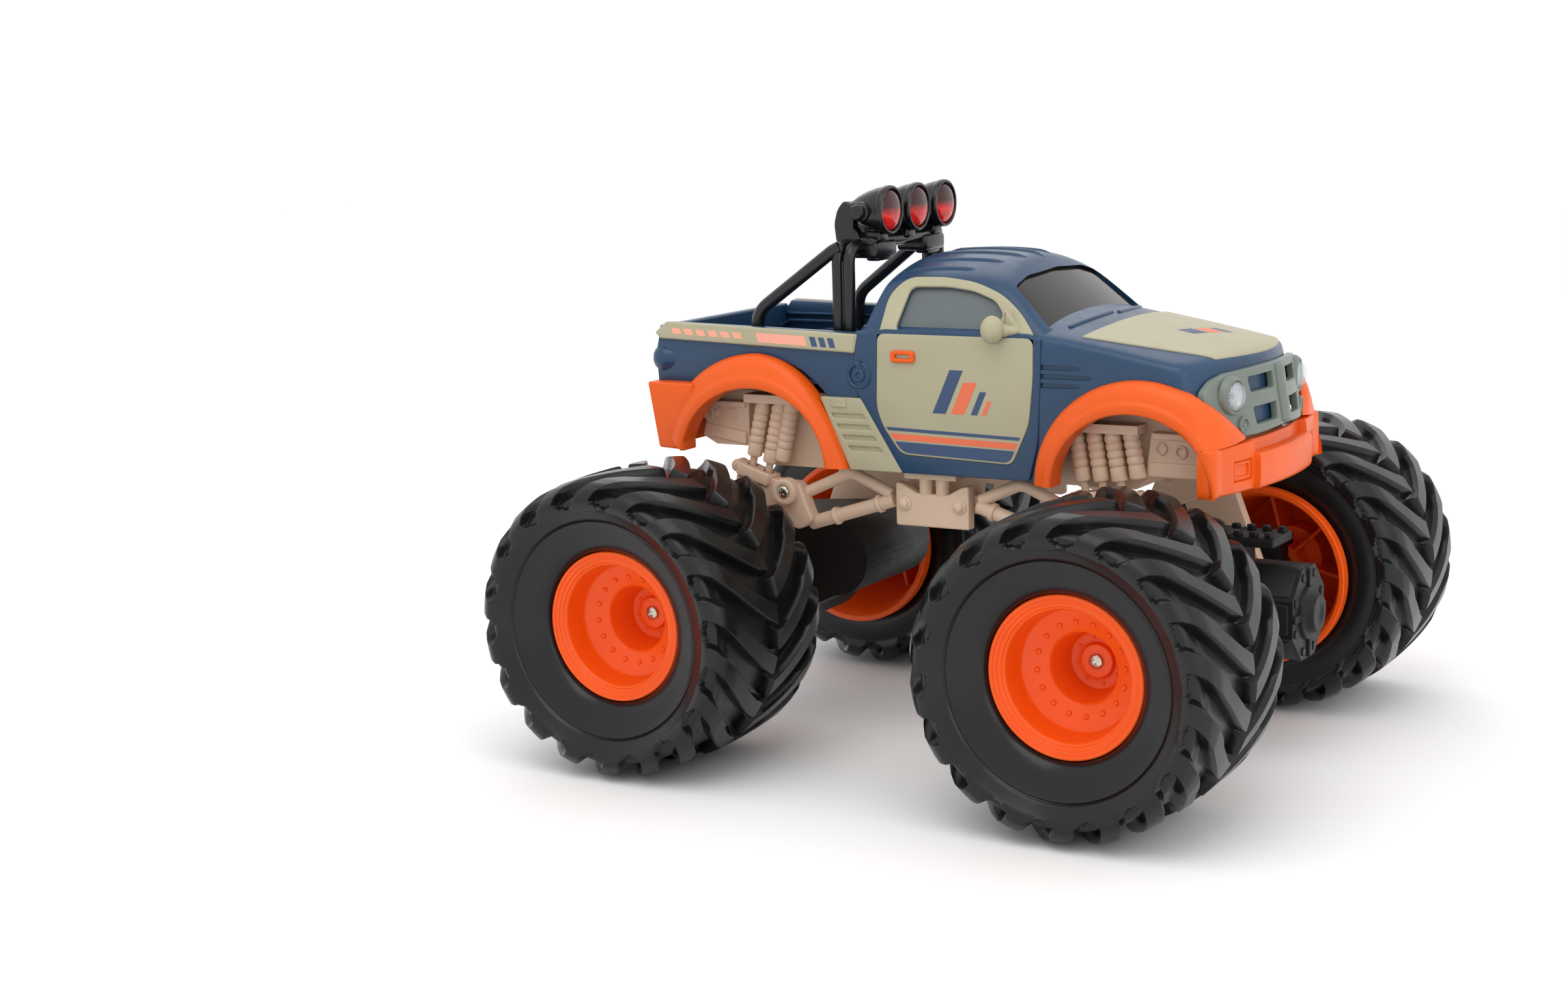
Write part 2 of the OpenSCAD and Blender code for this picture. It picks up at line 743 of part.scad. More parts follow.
module body_shell() {
    color(blue) union() {
        difference() {
            intersection() {
                slab(-half_body, half_body) polygon(shell_outline());
                translate([0, 0, 80]) linear_extrude(100) shell_plan(0);
            }
            intersection() {
                slab(shell_wall - half_body, half_body - shell_wall)
                    translate([0, -shell_wall]) polygon(shell_outline());
                translate([0, 0, 70]) linear_extrude(110) shell_plan(shell_wall);
            }
            translate([-24, -40, 140]) cube([68, 80, 20]);
            both_sides() translate([95, headlight_y, headlight_z])
                rotate([0, 90, 0]) cylinder(h = 20, r = 6.6);
            translate([-105, -40, bed_floor_z]) cube([78, 80, 30]);
        }
        difference() {
            translate([-106.5, -42, bed_floor_z - 1.6]) cube([80.5, 84, 18]);
            translate([-105, -40, bed_floor_z]) cube([77, 80, 30]);
        }
        difference() {
            cab(1);
            cab(0.95);
            translate([-60, -60, belt_z - 12]) cube([120, 120, 12]);
            slab(-60, 60) polygon(window_outline);
            along_x(20, 60) screen_outline();
            along_x(-60, -10) screen_outline();
        }
        both_sides() slab(half_body - 0.1, half_body + 0.8)
            translate([-24.7, 132.7]) difference() {
                circle(r = 4.2);
                circle(r = 2.2);
            }
    }
}

module glazing() {
    color([0.2, 0.17, 0.16, 0.7]) intersection() {
        difference() {
            cab(0.99);
            cab(0.965);
        }
        union() {
            slab(-60, 60) polygon(window_outline);
            along_x(20, 60) screen_outline();
            along_x(-60, -10) screen_outline();
        }
    }
}

module door_panels() {
    color(cream) {
        both_sides() slab(half_body, half_body + 1) polygon([
            [-17, belt_z], [-17.3, 140.5], [-18, 122], [-15, 115], [-8.4, 106],
            [33.7, 104.7], [35.8, 109.8], [40, 118.6], [41.6, 146.2], [41, belt_z]
        ]);
        intersection() {
            difference() {
                cab(1.018);
                cab(1);
            }
            slab(-60, 60) difference() {
                polygon(frame_outline);
                polygon(window_outline);
            }
        }
    }
}

module door_handles() {
    color(orange) both_sides() slab(half_body + 1, half_body + 2)
        translate([-7, 140]) difference() {
            polygon([[-4.5, -1], [-3.5, -2], [3.5, -2], [4.5, -1],
                     [4.5, 1], [3.5, 2], [-3.5, 2], [-4.5, 1]]);
            polygon([[-2.6, -0.8], [2.6, -0.8], [2.6, 0.8], [-2.6, 0.8]]);
        }
}

module mirrors() {
    color(cream) both_sides() {
        translate([27, 41.4, 150.5]) rotate([-90, 0, 0]) cylinder(h = 7.7, r = 1.4);
        translate([27, 49, 151]) rotate([0, -90, 0]) rotate([0, 0, 90]) hull() {
            translate([0, 1.4, 0]) cylinder(h = 2.4, r = 3, $fn = 32);
            translate([0, -1.4, 0]) cylinder(h = 2.4, r = 3, $fn = 32);
        }
    }
}

module bed_rails() {
    color(cream) both_sides() slab(half_body, half_body + 1.2) polygon([
        [-104.2, rail_z], [-27, rail_z - 1.6], [-28, 140.4], [-108.5, 143.5]
    ]);
}

module vent_panels() {
    louvre = 4.2;
    color(cream) both_sides() slab(half_body, half_body + 1.2) difference() {
        polygon([[-36.2, 124], [-25, 124], [-9, rocker_z], [-24.4, rocker_z]]);
        for (i = [0:3]) polygon([
            [-32.5 + 2.6 * i, 120 - i * louvre],
            [-24 + 2.6 * i, 120 - i * louvre],
            [-23.2 + 2.6 * i, 118.4 - i * louvre],
            [-31.7 + 2.6 * i, 118.4 - i * louvre]
        ]);
    }
}

module hood_panel() {
    fall = (hood_front.y - hood_rear.y) / (hood_front.x - hood_rear.x);
    z0 = hood_rear.y + (56.6 - hood_rear.x) * fall;
    z1 = hood_rear.y + (102 - hood_rear.x) * fall;
    color(cream) intersection() {
        slab(-40, 40) polygon([[56.6, z0], [102, z1], [102, z1 + 0.9], [56.6, z0 + 0.9]]);
        translate([0, 0, 130]) linear_extrude(30)
            polygon([[56.6, -39], [100, -29], [102, 0], [100, 29], [56.6, 39]]);
    }
}

module grille() {
    z0 = 117;
    z1 = 139;
    color(sage) difference() {
        union() {
            translate([0, 0, z0]) linear_extrude(z1 - z0)
                polygon(concat(nose_line(3.1), [for (i = [18:-1:0]) nose_line(0)[i]]));
            both_sides() translate([100, headlight_y, headlight_z]) rotate([0, 90, 0])
                cylinder(h = 8, r = 6.5);
        }
        for (y = [[4.5, 21.5], [-21.5, -4.5]], z = [[119, 125], [130, 135.5]])
            translate([90, y[0], z[0]]) cube([30, y[1] - y[0], z[1] - z[0]]);
        both_sides() translate([90, headlight_y, headlight_z]) rotate([0, 90, 0])
            cylinder(h = 30, r = 5);
    }
}

module headlight_lenses() {
    color([0.9, 0.92, 0.95, 0.6]) both_sides() translate([101.5, headlight_y, headlight_z])
        rotate([0, 90, 0]) rotate_extrude()
            polygon([[0, 0], [4.9, 0], [4.9, 5.5], [3.6, 6.6], [1.8, 7.2], [0, 7.4]]);
}

// ---- arches and bumpers ---------------------------------------------------

module front_fender(side) {
    color(orange) on_side(side) slab(42, half_fender) difference() {
        polygon(concat(
            arc(front_arch.x, front_arch.y, 37.2, 36.1, 180, 44, 20),
            [[106.2, 122.5], [106.2, 100]],
            [[106.2, front_arch.y]]
        ));
        polygon(concat(
            arc(front_arch.x - 1.2, front_arch.y, 28, 25.6, 180, 0, 24),
            [[106.3, front_arch.y - 5], [50, front_arch.y - 5]]
        ));
    }
}

module rear_fender(side) {
    color(orange) on_side(side) slab(42, half_fender) difference() {
        polygon(concat(
            [[-106, 103.8], [-110.5, 127.5]],
            arc(rear_arch.x, rear_arch.y, 37.5, 38.9, 135, 41, 22),
            [[-25.6, rear_arch.y], [-95, rear_arch.y]]
        ));
        polygon(concat(
            arc(rear_arch.x, rear_arch.y, 29.8, 27, 180, 0, 24),
            [[-36.2, 95], [-95.8, 95]]
        ));
    }
}

module front_bumper() {
    low = rocker_z;
    high = 116.5;
    color(orange) intersection() {
        translate([0, 0, low]) linear_extrude(high - low) polygon(concat(
            [for (y = [-50:4:50]) [115 - 0.0038 * y * y, y]],
            [for (y = [50:-4:-50]) [108.5 - 0.0038 * y * y, y]]
        ));
        translate([106.5, -60, 90]) cube([20, 120, 40]);
    }
}

module rear_bumper() {
    color(orange) slab(-41.8, 41.8)
        polygon([[-104.5, 104], [-106.5, 104], [-111, 127.5], [-109.3, 127.5]]);
}

// ---- roll bar and lamps ---------------------------------------------------

hoop_y = 33.5;
hoop_top = 176;
hoop_x = [-39.2, -34.6];
hoop_r = 2.1;
joint_r = 2.7;          // ball where tubes of the roll bar meet
lamp_y = [-20.4, 0, 20.4];
lamp_z = 188.2;

module roll_bar() {
    foot_x = -71;
    foot_y = 36.5;
    bend_z = 153;
    color(black) union() {
        for (x = hoop_x) {
            for (s = [-1, 1]) {
                bar([x, s * hoop_y, bed_floor_z], [x, s * hoop_y, hoop_top], hoop_r);
                translate([x, s * hoop_y, hoop_top]) sphere(r = joint_r);
            }
            bar([x, -hoop_y, hoop_top], [x, hoop_y, hoop_top], hoop_r - 0.1);
        }
        for (s = [-1, 1]) {
            bend = [foot_x, s * foot_y, bend_z];
            bar(bend, [hoop_x[0], s * hoop_y, hoop_top], hoop_r + 0.1);
            bar([foot_x, s * foot_y, bed_floor_z], bend, hoop_r + 0.2);
            translate(bend) sphere(r = joint_r);
        }
        translate([-40, -26, 173]) cube([12, 16, 5]);
        translate([-40, 10, 173]) cube([12, 16, 5]);
        for (y = lamp_y) translate([-36, y - 3, hoop_top]) cube([8, 6, 4.4]);
    }
}

module lamp_pods() {
    color(black) for (y = lamp_y) translate([-24, y, lamp_z]) rotate([0, -90, 0])
        difference() {
            union() {
                rotate_extrude() polygon([
                    [0, 2.5], [7.4, 2.5], [7.4, 0], [8.6, 0], [8.6, 2.5], [8.1, 3.5],
                    [7.9, 9], [6.6, 14], [4.4, 17.4], [0, 19]
                ]);
                if (y != 0) translate([0, sign(y) * 6, 11]) rotate([-90 * sign(y), 0, 0])
                    cylinder(h = 4.5, r = 2.6);
            }
            translate([-20, -5, 2]) cube([12.2, 10, 20]);
        }
}

module lamp_lenses() {
    color([0.75, 0.06, 0.05, 0.8]) for (y = lamp_y)
        translate([-26.4, y, lamp_z]) rotate([0, 90, 0]) rotate_extrude()
            polygon([[0, 0], [7.3, 0], [7.3, 1], [5.4, 2], [2.8, 2.6], [0, 2.8]]);
}

// ---- placed nodes ---------------------------------------------------------

chassis_tub();
pivot_brackets();
body_shell();
front_fender(RIGHT);  // front_fender_right
front_fender(LEFT);  // front_fender_left
front_bumper();
rear_fender(RIGHT);  // rear_fender_right
rear_fender(LEFT);  // rear_fender_left
rear_bumper();
door_panels();
bed_rails();
vent_panels();
hood_panel();
glazing();
mirrors();
door_handles();
grille();
headlight_lenses();
roll_bar();
lamp_pods();
lamp_lenses();
shock_bodies();
battery_cells();
receiver_board();
battery_door();
power_switch();
springs(REAR, rear_rods, rear_shock_lean, rear_body_len);  // rear_springs
springs(FRONT, front_rods, front_shock_lean, front_body_len);  // front_springs
color(beige) for (p = rear_rods) on_shock_axis(REAR, p, rear_shock_lean) shock_rod();  // rear_shock_rods
color(beige) for (p = front_rods) on_shock_axis(FRONT, p, front_shock_lean) shock_rod();  // front_shock_rods
rear_case_top();
rear_case_bottom();
on_side(RIGHT) at_end(REAR) link(rear_tray, rear_rods, rear_shock_lean);  // rear_link_right
at_end(REAR) link(rear_tray, rear_rods, rear_shock_lean);  // rear_link_left
drive_motor();
color(nickel) both_sides() at_end(REAR) link_screw();  // rear_link_screws
rear_shaft();
drive_gear();
rim(REAR, RIGHT);  // rim_rear_right
rim(REAR, LEFT);  // rim_rear_left
tyre(REAR, RIGHT);  // tyre_rear_right
tyre(REAR, LEFT);  // tyre_rear_left
color(nickel) for (s = [RIGHT, LEFT]) wheel_screw(REAR, s);  // rear_wheel_screws
idler_gear();
motor_pinion();
front_axle_case();
on_side(RIGHT) link(front_tray, front_rods, front_shock_lean);  // front_link_right
link(front_tray, front_rods, front_shock_lean);  // front_link_left
steering_servo();
color(nickel) both_sides() link_screw();  // front_link_screws
servo_arm();
tie_rod();
knuckle(RIGHT);  // knuckle_right
knuckle(LEFT);  // knuckle_left
rim(FRONT, RIGHT);  // rim_front_right
rim(FRONT, LEFT);  // rim_front_left
tyre(FRONT, RIGHT);  // tyre_front_right
tyre(FRONT, LEFT);  // tyre_front_left
color(nickel) wheel_screw(FRONT, RIGHT);  // wheel_screw_right
color(nickel) wheel_screw(FRONT, LEFT);  // wheel_screw_left
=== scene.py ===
import json
from math import atan2, cos, degrees, hypot, pi, radians, sin, tan

import bmesh
import bpy
import numpy as np
from mathutils import Matrix, Vector


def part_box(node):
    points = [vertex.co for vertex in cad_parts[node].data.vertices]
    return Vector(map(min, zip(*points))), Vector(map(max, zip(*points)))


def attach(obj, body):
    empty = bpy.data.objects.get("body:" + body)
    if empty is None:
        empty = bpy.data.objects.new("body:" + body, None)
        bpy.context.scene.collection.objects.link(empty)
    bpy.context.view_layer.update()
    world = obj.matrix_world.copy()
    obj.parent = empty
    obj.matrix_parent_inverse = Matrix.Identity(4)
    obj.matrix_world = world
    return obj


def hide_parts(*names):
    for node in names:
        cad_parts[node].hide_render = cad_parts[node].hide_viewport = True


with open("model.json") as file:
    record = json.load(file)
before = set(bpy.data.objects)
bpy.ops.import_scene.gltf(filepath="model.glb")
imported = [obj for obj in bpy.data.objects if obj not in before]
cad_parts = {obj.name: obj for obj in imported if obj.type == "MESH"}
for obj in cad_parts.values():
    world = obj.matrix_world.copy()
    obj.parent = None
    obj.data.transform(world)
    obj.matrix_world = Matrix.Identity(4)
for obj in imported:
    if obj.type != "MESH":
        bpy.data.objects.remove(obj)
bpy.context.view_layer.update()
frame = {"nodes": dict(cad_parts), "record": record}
NODES = frame["nodes"]

# Lengths below are in millimetres; a mesh is scaled to metres when it is made.
MM = 0.001
LEFT, RIGHT = 1, -1
FRONT, REAR = 1, -1
SIDES = ((LEFT, "left"), (RIGHT, "right"))


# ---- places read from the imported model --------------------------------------

def box_mm(node):
    lo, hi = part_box(node)
    return lo / MM, hi / MM


tyre_lo, tyre_hi = box_mm("tyre_front_left")
AXLE_X = (tyre_lo.x + tyre_hi.x) / 2
AXLE_Z = (tyre_lo.z + tyre_hi.z) / 2
TYRE_Y = (tyre_lo.y + tyre_hi.y) / 2
HALF_W = (tyre_hi.y - tyre_lo.y) / 2


# ---- materials ---------------------------------------------------------------

def srgb(r, g, b):
    """Linear colour from 0-255 display values."""
    def linear(v):
        v = v / 255
        return v / 12.92 if v < 0.04045 else ((v + 0.055) / 1.055) ** 2.4
    return (linear(r), linear(g), linear(b), 1.0)


class Shader:
    """A node material with short calls for the nodes that the finishes share."""

    def __init__(self, name):
        self.mat = bpy.data.materials.new(name)
        self.mat.use_nodes = True
        self.tree = self.mat.node_tree
        self.bsdf = self.tree.nodes["Principled BSDF"]
        self.coord = self.tree.nodes.new("ShaderNodeTexCoord").outputs["Object"]

    def node(self, kind, **values):
        made = self.tree.nodes.new(kind)
        for key, value in values.items():
            if key in made.inputs:
                made.inputs[key].default_value = value
            else:
                setattr(made, key, value)
        return made

    def link(self, out, into):
        self.tree.links.new(out, into)

    def noise(self, per_metre, detail=4.0, rough=0.6):
        made = self.node("ShaderNodeTexNoise", Scale=per_metre, Detail=detail, Roughness=rough)
        self.link(self.coord, made.inputs["Vector"])
        return made.outputs["Fac"]

    def ramp(self, fac, low, high, v0, v1):
        """Maps fac from low..high to v0..v1."""
        made = self.node("ShaderNodeMapRange")
        for key, value in zip(("From Min", "From Max", "To Min", "To Max"), (low, high, v0, v1)):
            made.inputs[key].default_value = value
        self.link(fac, made.inputs["Value"])
        return made.outputs["Result"]

    def mix(self, fac, a, b):
        made = self.node("ShaderNodeMix", data_type="RGBA")
        for value, i in ((a, 6), (b, 7)):
            if isinstance(value, tuple):
                made.inputs[i].default_value = value
            else:
                self.link(value, made.inputs[i])
        self.link(fac, made.inputs[0])
        return made.outputs[2]

    def set(self, socket, value):
        self.bsdf.inputs[socket].default_value = value

    def colour(self, out):
        self.link(out, self.bsdf.inputs["Base Color"])

    def rough(self, out):
        self.link(out, self.bsdf.inputs["Roughness"])

    def bumps(self, *layers):
        """Bump from (height, strength, distance in metres) layers, one over another."""
        last = None
        for height, strength, distance in layers:
            made = self.node("ShaderNodeBump", Strength=strength, Distance=distance)
            self.link(height, made.inputs["Height"])
            if last is not None:
                self.link(last, made.inputs["Normal"])
            last = made.outputs["Normal"]
        self.link(last, self.bsdf.inputs["Normal"])


def moulded_plastic(name, rgb, rough, grain, coat, scatter, tone, shine):
    """Injection-moulded plastic: fine grain, cloudy gloss and slight flow marks."""
    sh = Shader(name)
    base = srgb(*rgb)
    dark = tuple(c * (1 - tone) for c in base[:3]) + (1.0,)
    pale = tuple(min(1.0, c * (1 + tone) + 0.002) for c in base[:3]) + (1.0,)
    cloud = sh.noise(38, 5.0, 0.55)
    sh.colour(sh.mix(sh.ramp(cloud, 0.35, 0.65, 0.0, 1.0), dark, pale))
    sh.rough(sh.ramp(sh.noise(210, 6.0, 0.65), 0.3, 0.7, rough - 0.05, rough + 0.07))
    sh.bumps((sh.noise(5200, 3.0, 0.7), grain, 0.00002), (sh.noise(260, 2.0, 0.5), 0.12, 0.00010))
    sh.set("Specular IOR Level", shine)
    sh.set("Coat Weight", coat)
    sh.set("Coat Roughness", 0.18)
    if scatter:
        sh.set("Subsurface Weight", scatter)
        sh.set("Subsurface Radius", (0.0022, 0.0008, 0.0004))
        sh.set("Subsurface Scale", 1.0)
    return sh.mat


def tyre_rubber():
    """Soft vinyl: faint bloom, mould grain and dust in the broad areas."""
    sh = Shader("tyre_rubber")
    bloom = sh.noise(26, 6.0, 0.62)
    speck = sh.noise(900, 5.0, 0.7)
    tone = sh.mix(sh.ramp(bloom, 0.35, 0.7, 0.0, 1.0), srgb(11, 12, 13), srgb(19, 20, 21))
    sh.colour(sh.mix(sh.ramp(speck, 0.62, 0.8, 0.0, 0.25), tone, srgb(62, 63, 61)))
    sh.rough(sh.ramp(bloom, 0.3, 0.7, 0.22, 0.34))
    sh.bumps((speck, 0.25, 0.00004), (sh.noise(120, 3.0, 0.5), 0.18, 0.00025))
    sh.set("Specular IOR Level", 0.38)
    return sh.mat


def metal(name, rgb, rough, streak=0.06):
    sh = Shader(name)
    base = srgb(*rgb)
    dark = tuple(c * 0.72 for c in base[:3]) + (1.0,)
    sh.colour(sh.mix(sh.ramp(sh.noise(700, 4.0, 0.6), 0.35, 0.65, 0.0, 1.0), dark, base))
    sh.rough(sh.ramp(sh.noise(1500, 3.0, 0.6), 0.3, 0.7, rough - streak, rough + streak))
    sh.bumps((sh.noise(2600, 3.0, 0.6), 0.15, 0.00002))
    sh.set("Metallic", 1.0)
    return sh.mat


def tinted_glass(name, rgb, alpha, rough, coat):
    """Clear or tinted plastic, seen through as far as its alpha says."""
    sh = Shader(name)
    base = srgb(*rgb)
    dark = tuple(c * 0.8 for c in base[:3]) + (1.0,)
    sh.colour(sh.mix(sh.ramp(sh.noise(30, 3.0, 0.5), 0.3, 0.7, 0.0, 1.0), dark, base))
    sh.rough(sh.ramp(sh.noise(160, 3.0, 0.5), 0.3, 0.7, rough, rough + 0.03))
    sh.set("Alpha", alpha)
    sh.set("IOR", 1.5)
    sh.set("Specular IOR Level", 0.3)
    sh.set("Coat Weight", coat)
    sh.set("Coat Roughness", 0.03)
    return sh.mat


def lamp_lens():
    """Glossy red lens with painted light: painted bright red low down, where its reflector faces
    the ground and catches light from below, and painted dark red higher up as painted shade.
    """
    sh = Shader("red_lens")
    height = sh.node("ShaderNodeSeparateXYZ")
    sh.link(sh.coord, height.inputs[0])
    # painted light: 1 low on the lens, where the painted glow goes, falling to 0 higher up, where
    # the painted shade goes
    low = sh.ramp(height.outputs["Z"], 0.1862, 0.1892, 1.0, 0.0)
    # painted light: cells that mottle the painted glow between two reds like lit reflector facets
    painted_reflector_facets = sh.node("ShaderNodeTexVoronoi", Scale=520.0)
    sh.link(sh.coord, painted_reflector_facets.inputs["Vector"])
    painted_glow = sh.mix(painted_reflector_facets.outputs["Color"], srgb(176, 14, 8), srgb(240, 34, 20))
    # painted shade in dark red on the upper lens, painted glow on the lower lens
    sh.colour(sh.mix(low, srgb(58, 10, 10), painted_glow))
    sh.rough(sh.ramp(sh.noise(150, 3.0, 0.5), 0.3, 0.7, 0.05, 0.09))
    sh.set("Coat Weight", 0.15)
    sh.set("Coat Roughness", 0.03)
    sh.set("Specular IOR Level", 0.4)
    return sh.mat


# colour, roughness, grain, coat, share of light that scatters inside, cloudiness, shine
PLASTICS = {
    "blue_shell": ((28, 61, 92), 0.36, 0.12, 0.12, 0.0, 0.07, 0.4),
    "cream_plastic": ((168, 162, 133), 0.44, 0.14, 0.04, 0.03, 0.03, 0.5),
    "orange_plastic": ((230, 90, 14), 0.38, 0.12, 0.05, 0.03, 0.03, 0.28),
    "rim_orange": ((238, 86, 12), 0.32, 0.1, 0.06, 0.03, 0.03, 0.3),
    "beige_plastic": ((216, 188, 163), 0.45, 0.16, 0.03, 0.08, 0.04, 0.5),
    "black_plastic": ((20, 21, 22), 0.46, 0.18, 0.0, 0.0, 0.15, 0.25),
    "gloss_black": ((13, 13, 14), 0.26, 0.06, 0.2, 0.0, 0.15, 0.4),
    "sage_plastic": ((108, 117, 109), 0.38, 0.14, 0.1, 0.02, 0.05, 0.5),
    "stripe_navy": ((46, 70, 106), 0.42, 0.14, 0.05, 0.0, 0.04, 0.5),
    "stripe_coral": ((226, 106, 68), 0.42, 0.14, 0.05, 0.0, 0.03, 0.5),
    "stripe_salmon": ((240, 164, 140), 0.42, 0.14, 0.05, 0.0, 0.03, 0.5),
    "gear_plastic": ((222, 218, 200), 0.42, 0.15, 0.0, 0.1, 0.03, 0.5),
    "cell_jacket": ((44, 110, 62), 0.3, 0.05, 0.4, 0.0, 0.05, 0.5),
    "circuit_board": ((18, 84, 46), 0.35, 0.3, 0.3, 0.0, 0.2, 0.5),
}
# colour and roughness
METALS = {
    "nickel_screw": ((214, 208, 192), 0.24),
    "spring_steel": ((188, 190, 192), 0.26),
    "motor_can": ((196, 198, 200), 0.34),
    "pinion_brass": ((212, 168, 84), 0.28),
    "mirror_cup": ((226, 228, 230), 0.16),
}
# colour, alpha, roughness and coat
CLEAR = {
    "tinted_glazing": ((38, 32, 29), 0.95, 0.12, 0.15),
    "side_glazing": ((106, 113, 114), 0.95, 0.20, 0.1),
    "clear_lens": ((225, 232, 236), 0.30, 0.04, 0.5),
}
MAT = {"tyre_rubber": tyre_rubber(), "red_lens": lamp_lens()}
for finish, table in ((moulded_plastic, PLASTICS), (metal, METALS), (tinted_glass, CLEAR)):
    MAT.update({name: finish(name, *row) for name, row in table.items()})


# ---- mesh helpers ------------------------------------------------------------

def linked(name, data):
    obj = bpy.data.objects.new(name, data)
    bpy.context.scene.collection.objects.link(obj)
    return obj


def solid_mesh(name, pair, weld=0.0):
    """A mesh in metres from points in millimetres, with its faces turned outwards."""
    mesh = bpy.data.meshes.new(name)
    mesh.from_pydata([tuple(c * MM for c in v) for v in pair[0]], [], [tuple(f) for f in pair[1]])
    bm = bmesh.new()
    bm.from_mesh(mesh)
    if weld:
        bmesh.ops.remove_doubles(bm, verts=bm.verts, dist=weld * MM)
    bmesh.ops.recalc_face_normals(bm, faces=bm.faces)
    bm.to_mesh(mesh)
    bm.free()
    return mesh


def add_bevel(obj, width, segments, angle):
    made = obj.modifiers.new("bevel", "BEVEL")
    made.width = width * MM
    made.segments = segments
    made.limit_method = "ANGLE"
    made.angle_limit = radians(angle)
    made.harden_normals = True


def make(name, verts, faces, finish, body="chassis", replaces=(), slot=None, smooth=30,
         bevel=0.0, segments=2):
    """One piece from a mesh in millimetres, on the chassis unless another body is named."""
    mesh = solid_mesh(name, (verts, faces), weld=0.004)
    mesh.materials.append(MAT[finish])
    obj = linked(name, mesh)
    mesh.shade_smooth()
    if bevel:
        add_bevel(obj, bevel, segments, smooth)
    else:
        mesh.set_sharp_from_angle(angle=radians(smooth))
    slot = slot or finish
    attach(obj, body)
    if replaces:
        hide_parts(*replaces)
    return obj


class Parts:
    """Collects sub-shapes, in millimetres, that are made into one piece."""

    def __init__(self):
        self.verts, self.faces = [], []

    def add(self, verts, faces, at=None):
        base = len(self.verts)
        for v in verts:
            p = Vector(v)
            self.verts.append(tuple(p if at is None else at @ p))
        self.faces += [tuple(base + i for i in f) for f in faces]
        return self

    def shape(self, pair, at=None):
        """Adds (verts, faces), moved by a transform."""
        return self.add(pair[0], pair[1], at)

    def mirrored(self):
        """The same shapes and their mirror images across Y."""
        n = len(self.verts)
        self.verts += [(x, -y, z) for x, y, z in self.verts]
        self.faces += [tuple(n + i for i in reversed(f)) for f in self.faces]
        return self

    def corner(self, end, side):
        """A copy for that end and side, from shapes drawn at the front left."""
        return Parts().add([(end * x, side * y, z) for x, y, z in self.verts],
                           [tuple(reversed(f)) if end * side < 0 else f for f in self.faces])

    def make(self, name, finish, **options):
        return make(name, self.verts, self.faces, finish, **options)


def grid(rows, closed_u=False, closed_v=False, cap=False):
    """Quads through equal rows of points. u runs along a row, v from row to row."""
    nv, nu = len(rows), len(rows[0])
    verts = [tuple(p) for row in rows for p in row]
    faces = []
    for v in range(nv if closed_v else nv - 1):
        for u in range(nu if closed_u else nu - 1):
            a, b = v * nu + u, v * nu + (u + 1) % nu
            c, d = ((v + 1) % nv) * nu + (u + 1) % nu, ((v + 1) % nv) * nu + u
            faces.append((a, b, c, d))
    if cap:
        faces.append(tuple(range(nu)))
        faces.append(tuple((nv - 1) * nu + u for u in reversed(range(nu))))
    return verts, faces


def ring(count):
    """Angles spread evenly round a full turn."""
    return np.linspace(0, 2 * pi, count, endpoint=False)


def lathe(profile, steps=96, closed=False):
    """Turns (radius, height) points round +Z. A radius of 0 closes the form."""
    rows = []
    for r, h in profile:
        rows.append([(r * cos(a), r * sin(a), h)
                     for a in ring(steps)])
    return grid(rows, closed_u=True, closed_v=closed)


def prism(outline, y0, y1):
    """Slab between two Y planes with an (x, z) outline."""
    n = len(outline)
    verts = [(x, y0, z) for x, z in outline] + [(x, y1, z) for x, z in outline]
    faces = [tuple(range(n)), tuple(reversed(range(n, 2 * n)))]
    faces += [(i, n + i, n + (i + 1) % n, (i + 1) % n) for i in range(n)]
    return verts, faces


def rect(x0, z0, x1, z1):
    return [(x0, z0), (x1, z0), (x1, z1), (x0, z1)]


def block(lo, hi):
    return prism(rect(lo[0], lo[2], hi[0], hi[2]), lo[1], hi[1])


def arc(cx, cz, rx, rz, a0, a1, steps):
    return [(cx + rx * cos(radians(a)), cz + rz * sin(radians(a)))
            for a in np.linspace(a0, a1, steps + 1)]


def bend(start, control, end, t):
    """A point of a quadratic curve."""
    return (1 - t) ** 2 * start + 2 * t * (1 - t) * control + t ** 2 * end


def rounded(points, radius, steps=5):
    """An outline with each corner replaced by an arc of about that radius."""
    out = []
    n = len(points)
    for i in range(n):
        p, q, r = (np.array(points[(i + k) % n], float) for k in (-1, 0, 1))
        a, b = (p - q) / np.linalg.norm(p - q), (r - q) / np.linalg.norm(r - q)
        cut = min(radius, 0.45 * np.linalg.norm(p - q), 0.45 * np.linalg.norm(r - q))
        for t in np.linspace(0, 1, steps + 1):
            out.append(tuple(bend(q + a * cut, q, q + b * cut, t)))
    return out


def panel(outlines, y0, y1, bevel=0.3, resolution=2):
    """Slab with holes and rounded edges: the first outline less the others, in (x, z)."""
    curve = bpy.data.curves.new("panel", "CURVE")
    curve.dimensions = "2D"
    curve.fill_mode = "BOTH"
    for outline in outlines:
        spline = curve.splines.new("POLY")
        spline.points.add(len(outline) - 1)
        for point, (x, z) in zip(spline.points, outline):
            point.co = (x, z, 0, 1)
        spline.use_cyclic_u = True
    curve.extrude = (y1 - y0) / 2 - bevel
    curve.bevel_depth = bevel
    curve.bevel_resolution = resolution
    curve.offset = -bevel
    obj = bpy.data.objects.new("panel", curve)
    mesh = bpy.data.meshes.new_from_object(obj)
    mid = (y0 + y1) / 2
    verts = [(v.co.x, mid - v.co.z, v.co.y) for v in mesh.vertices]
    faces = [tuple(p.vertices) for p in mesh.polygons]
    bpy.data.objects.remove(obj)
    bpy.data.curves.remove(curve)
    bpy.data.meshes.remove(mesh)
    return verts, faces


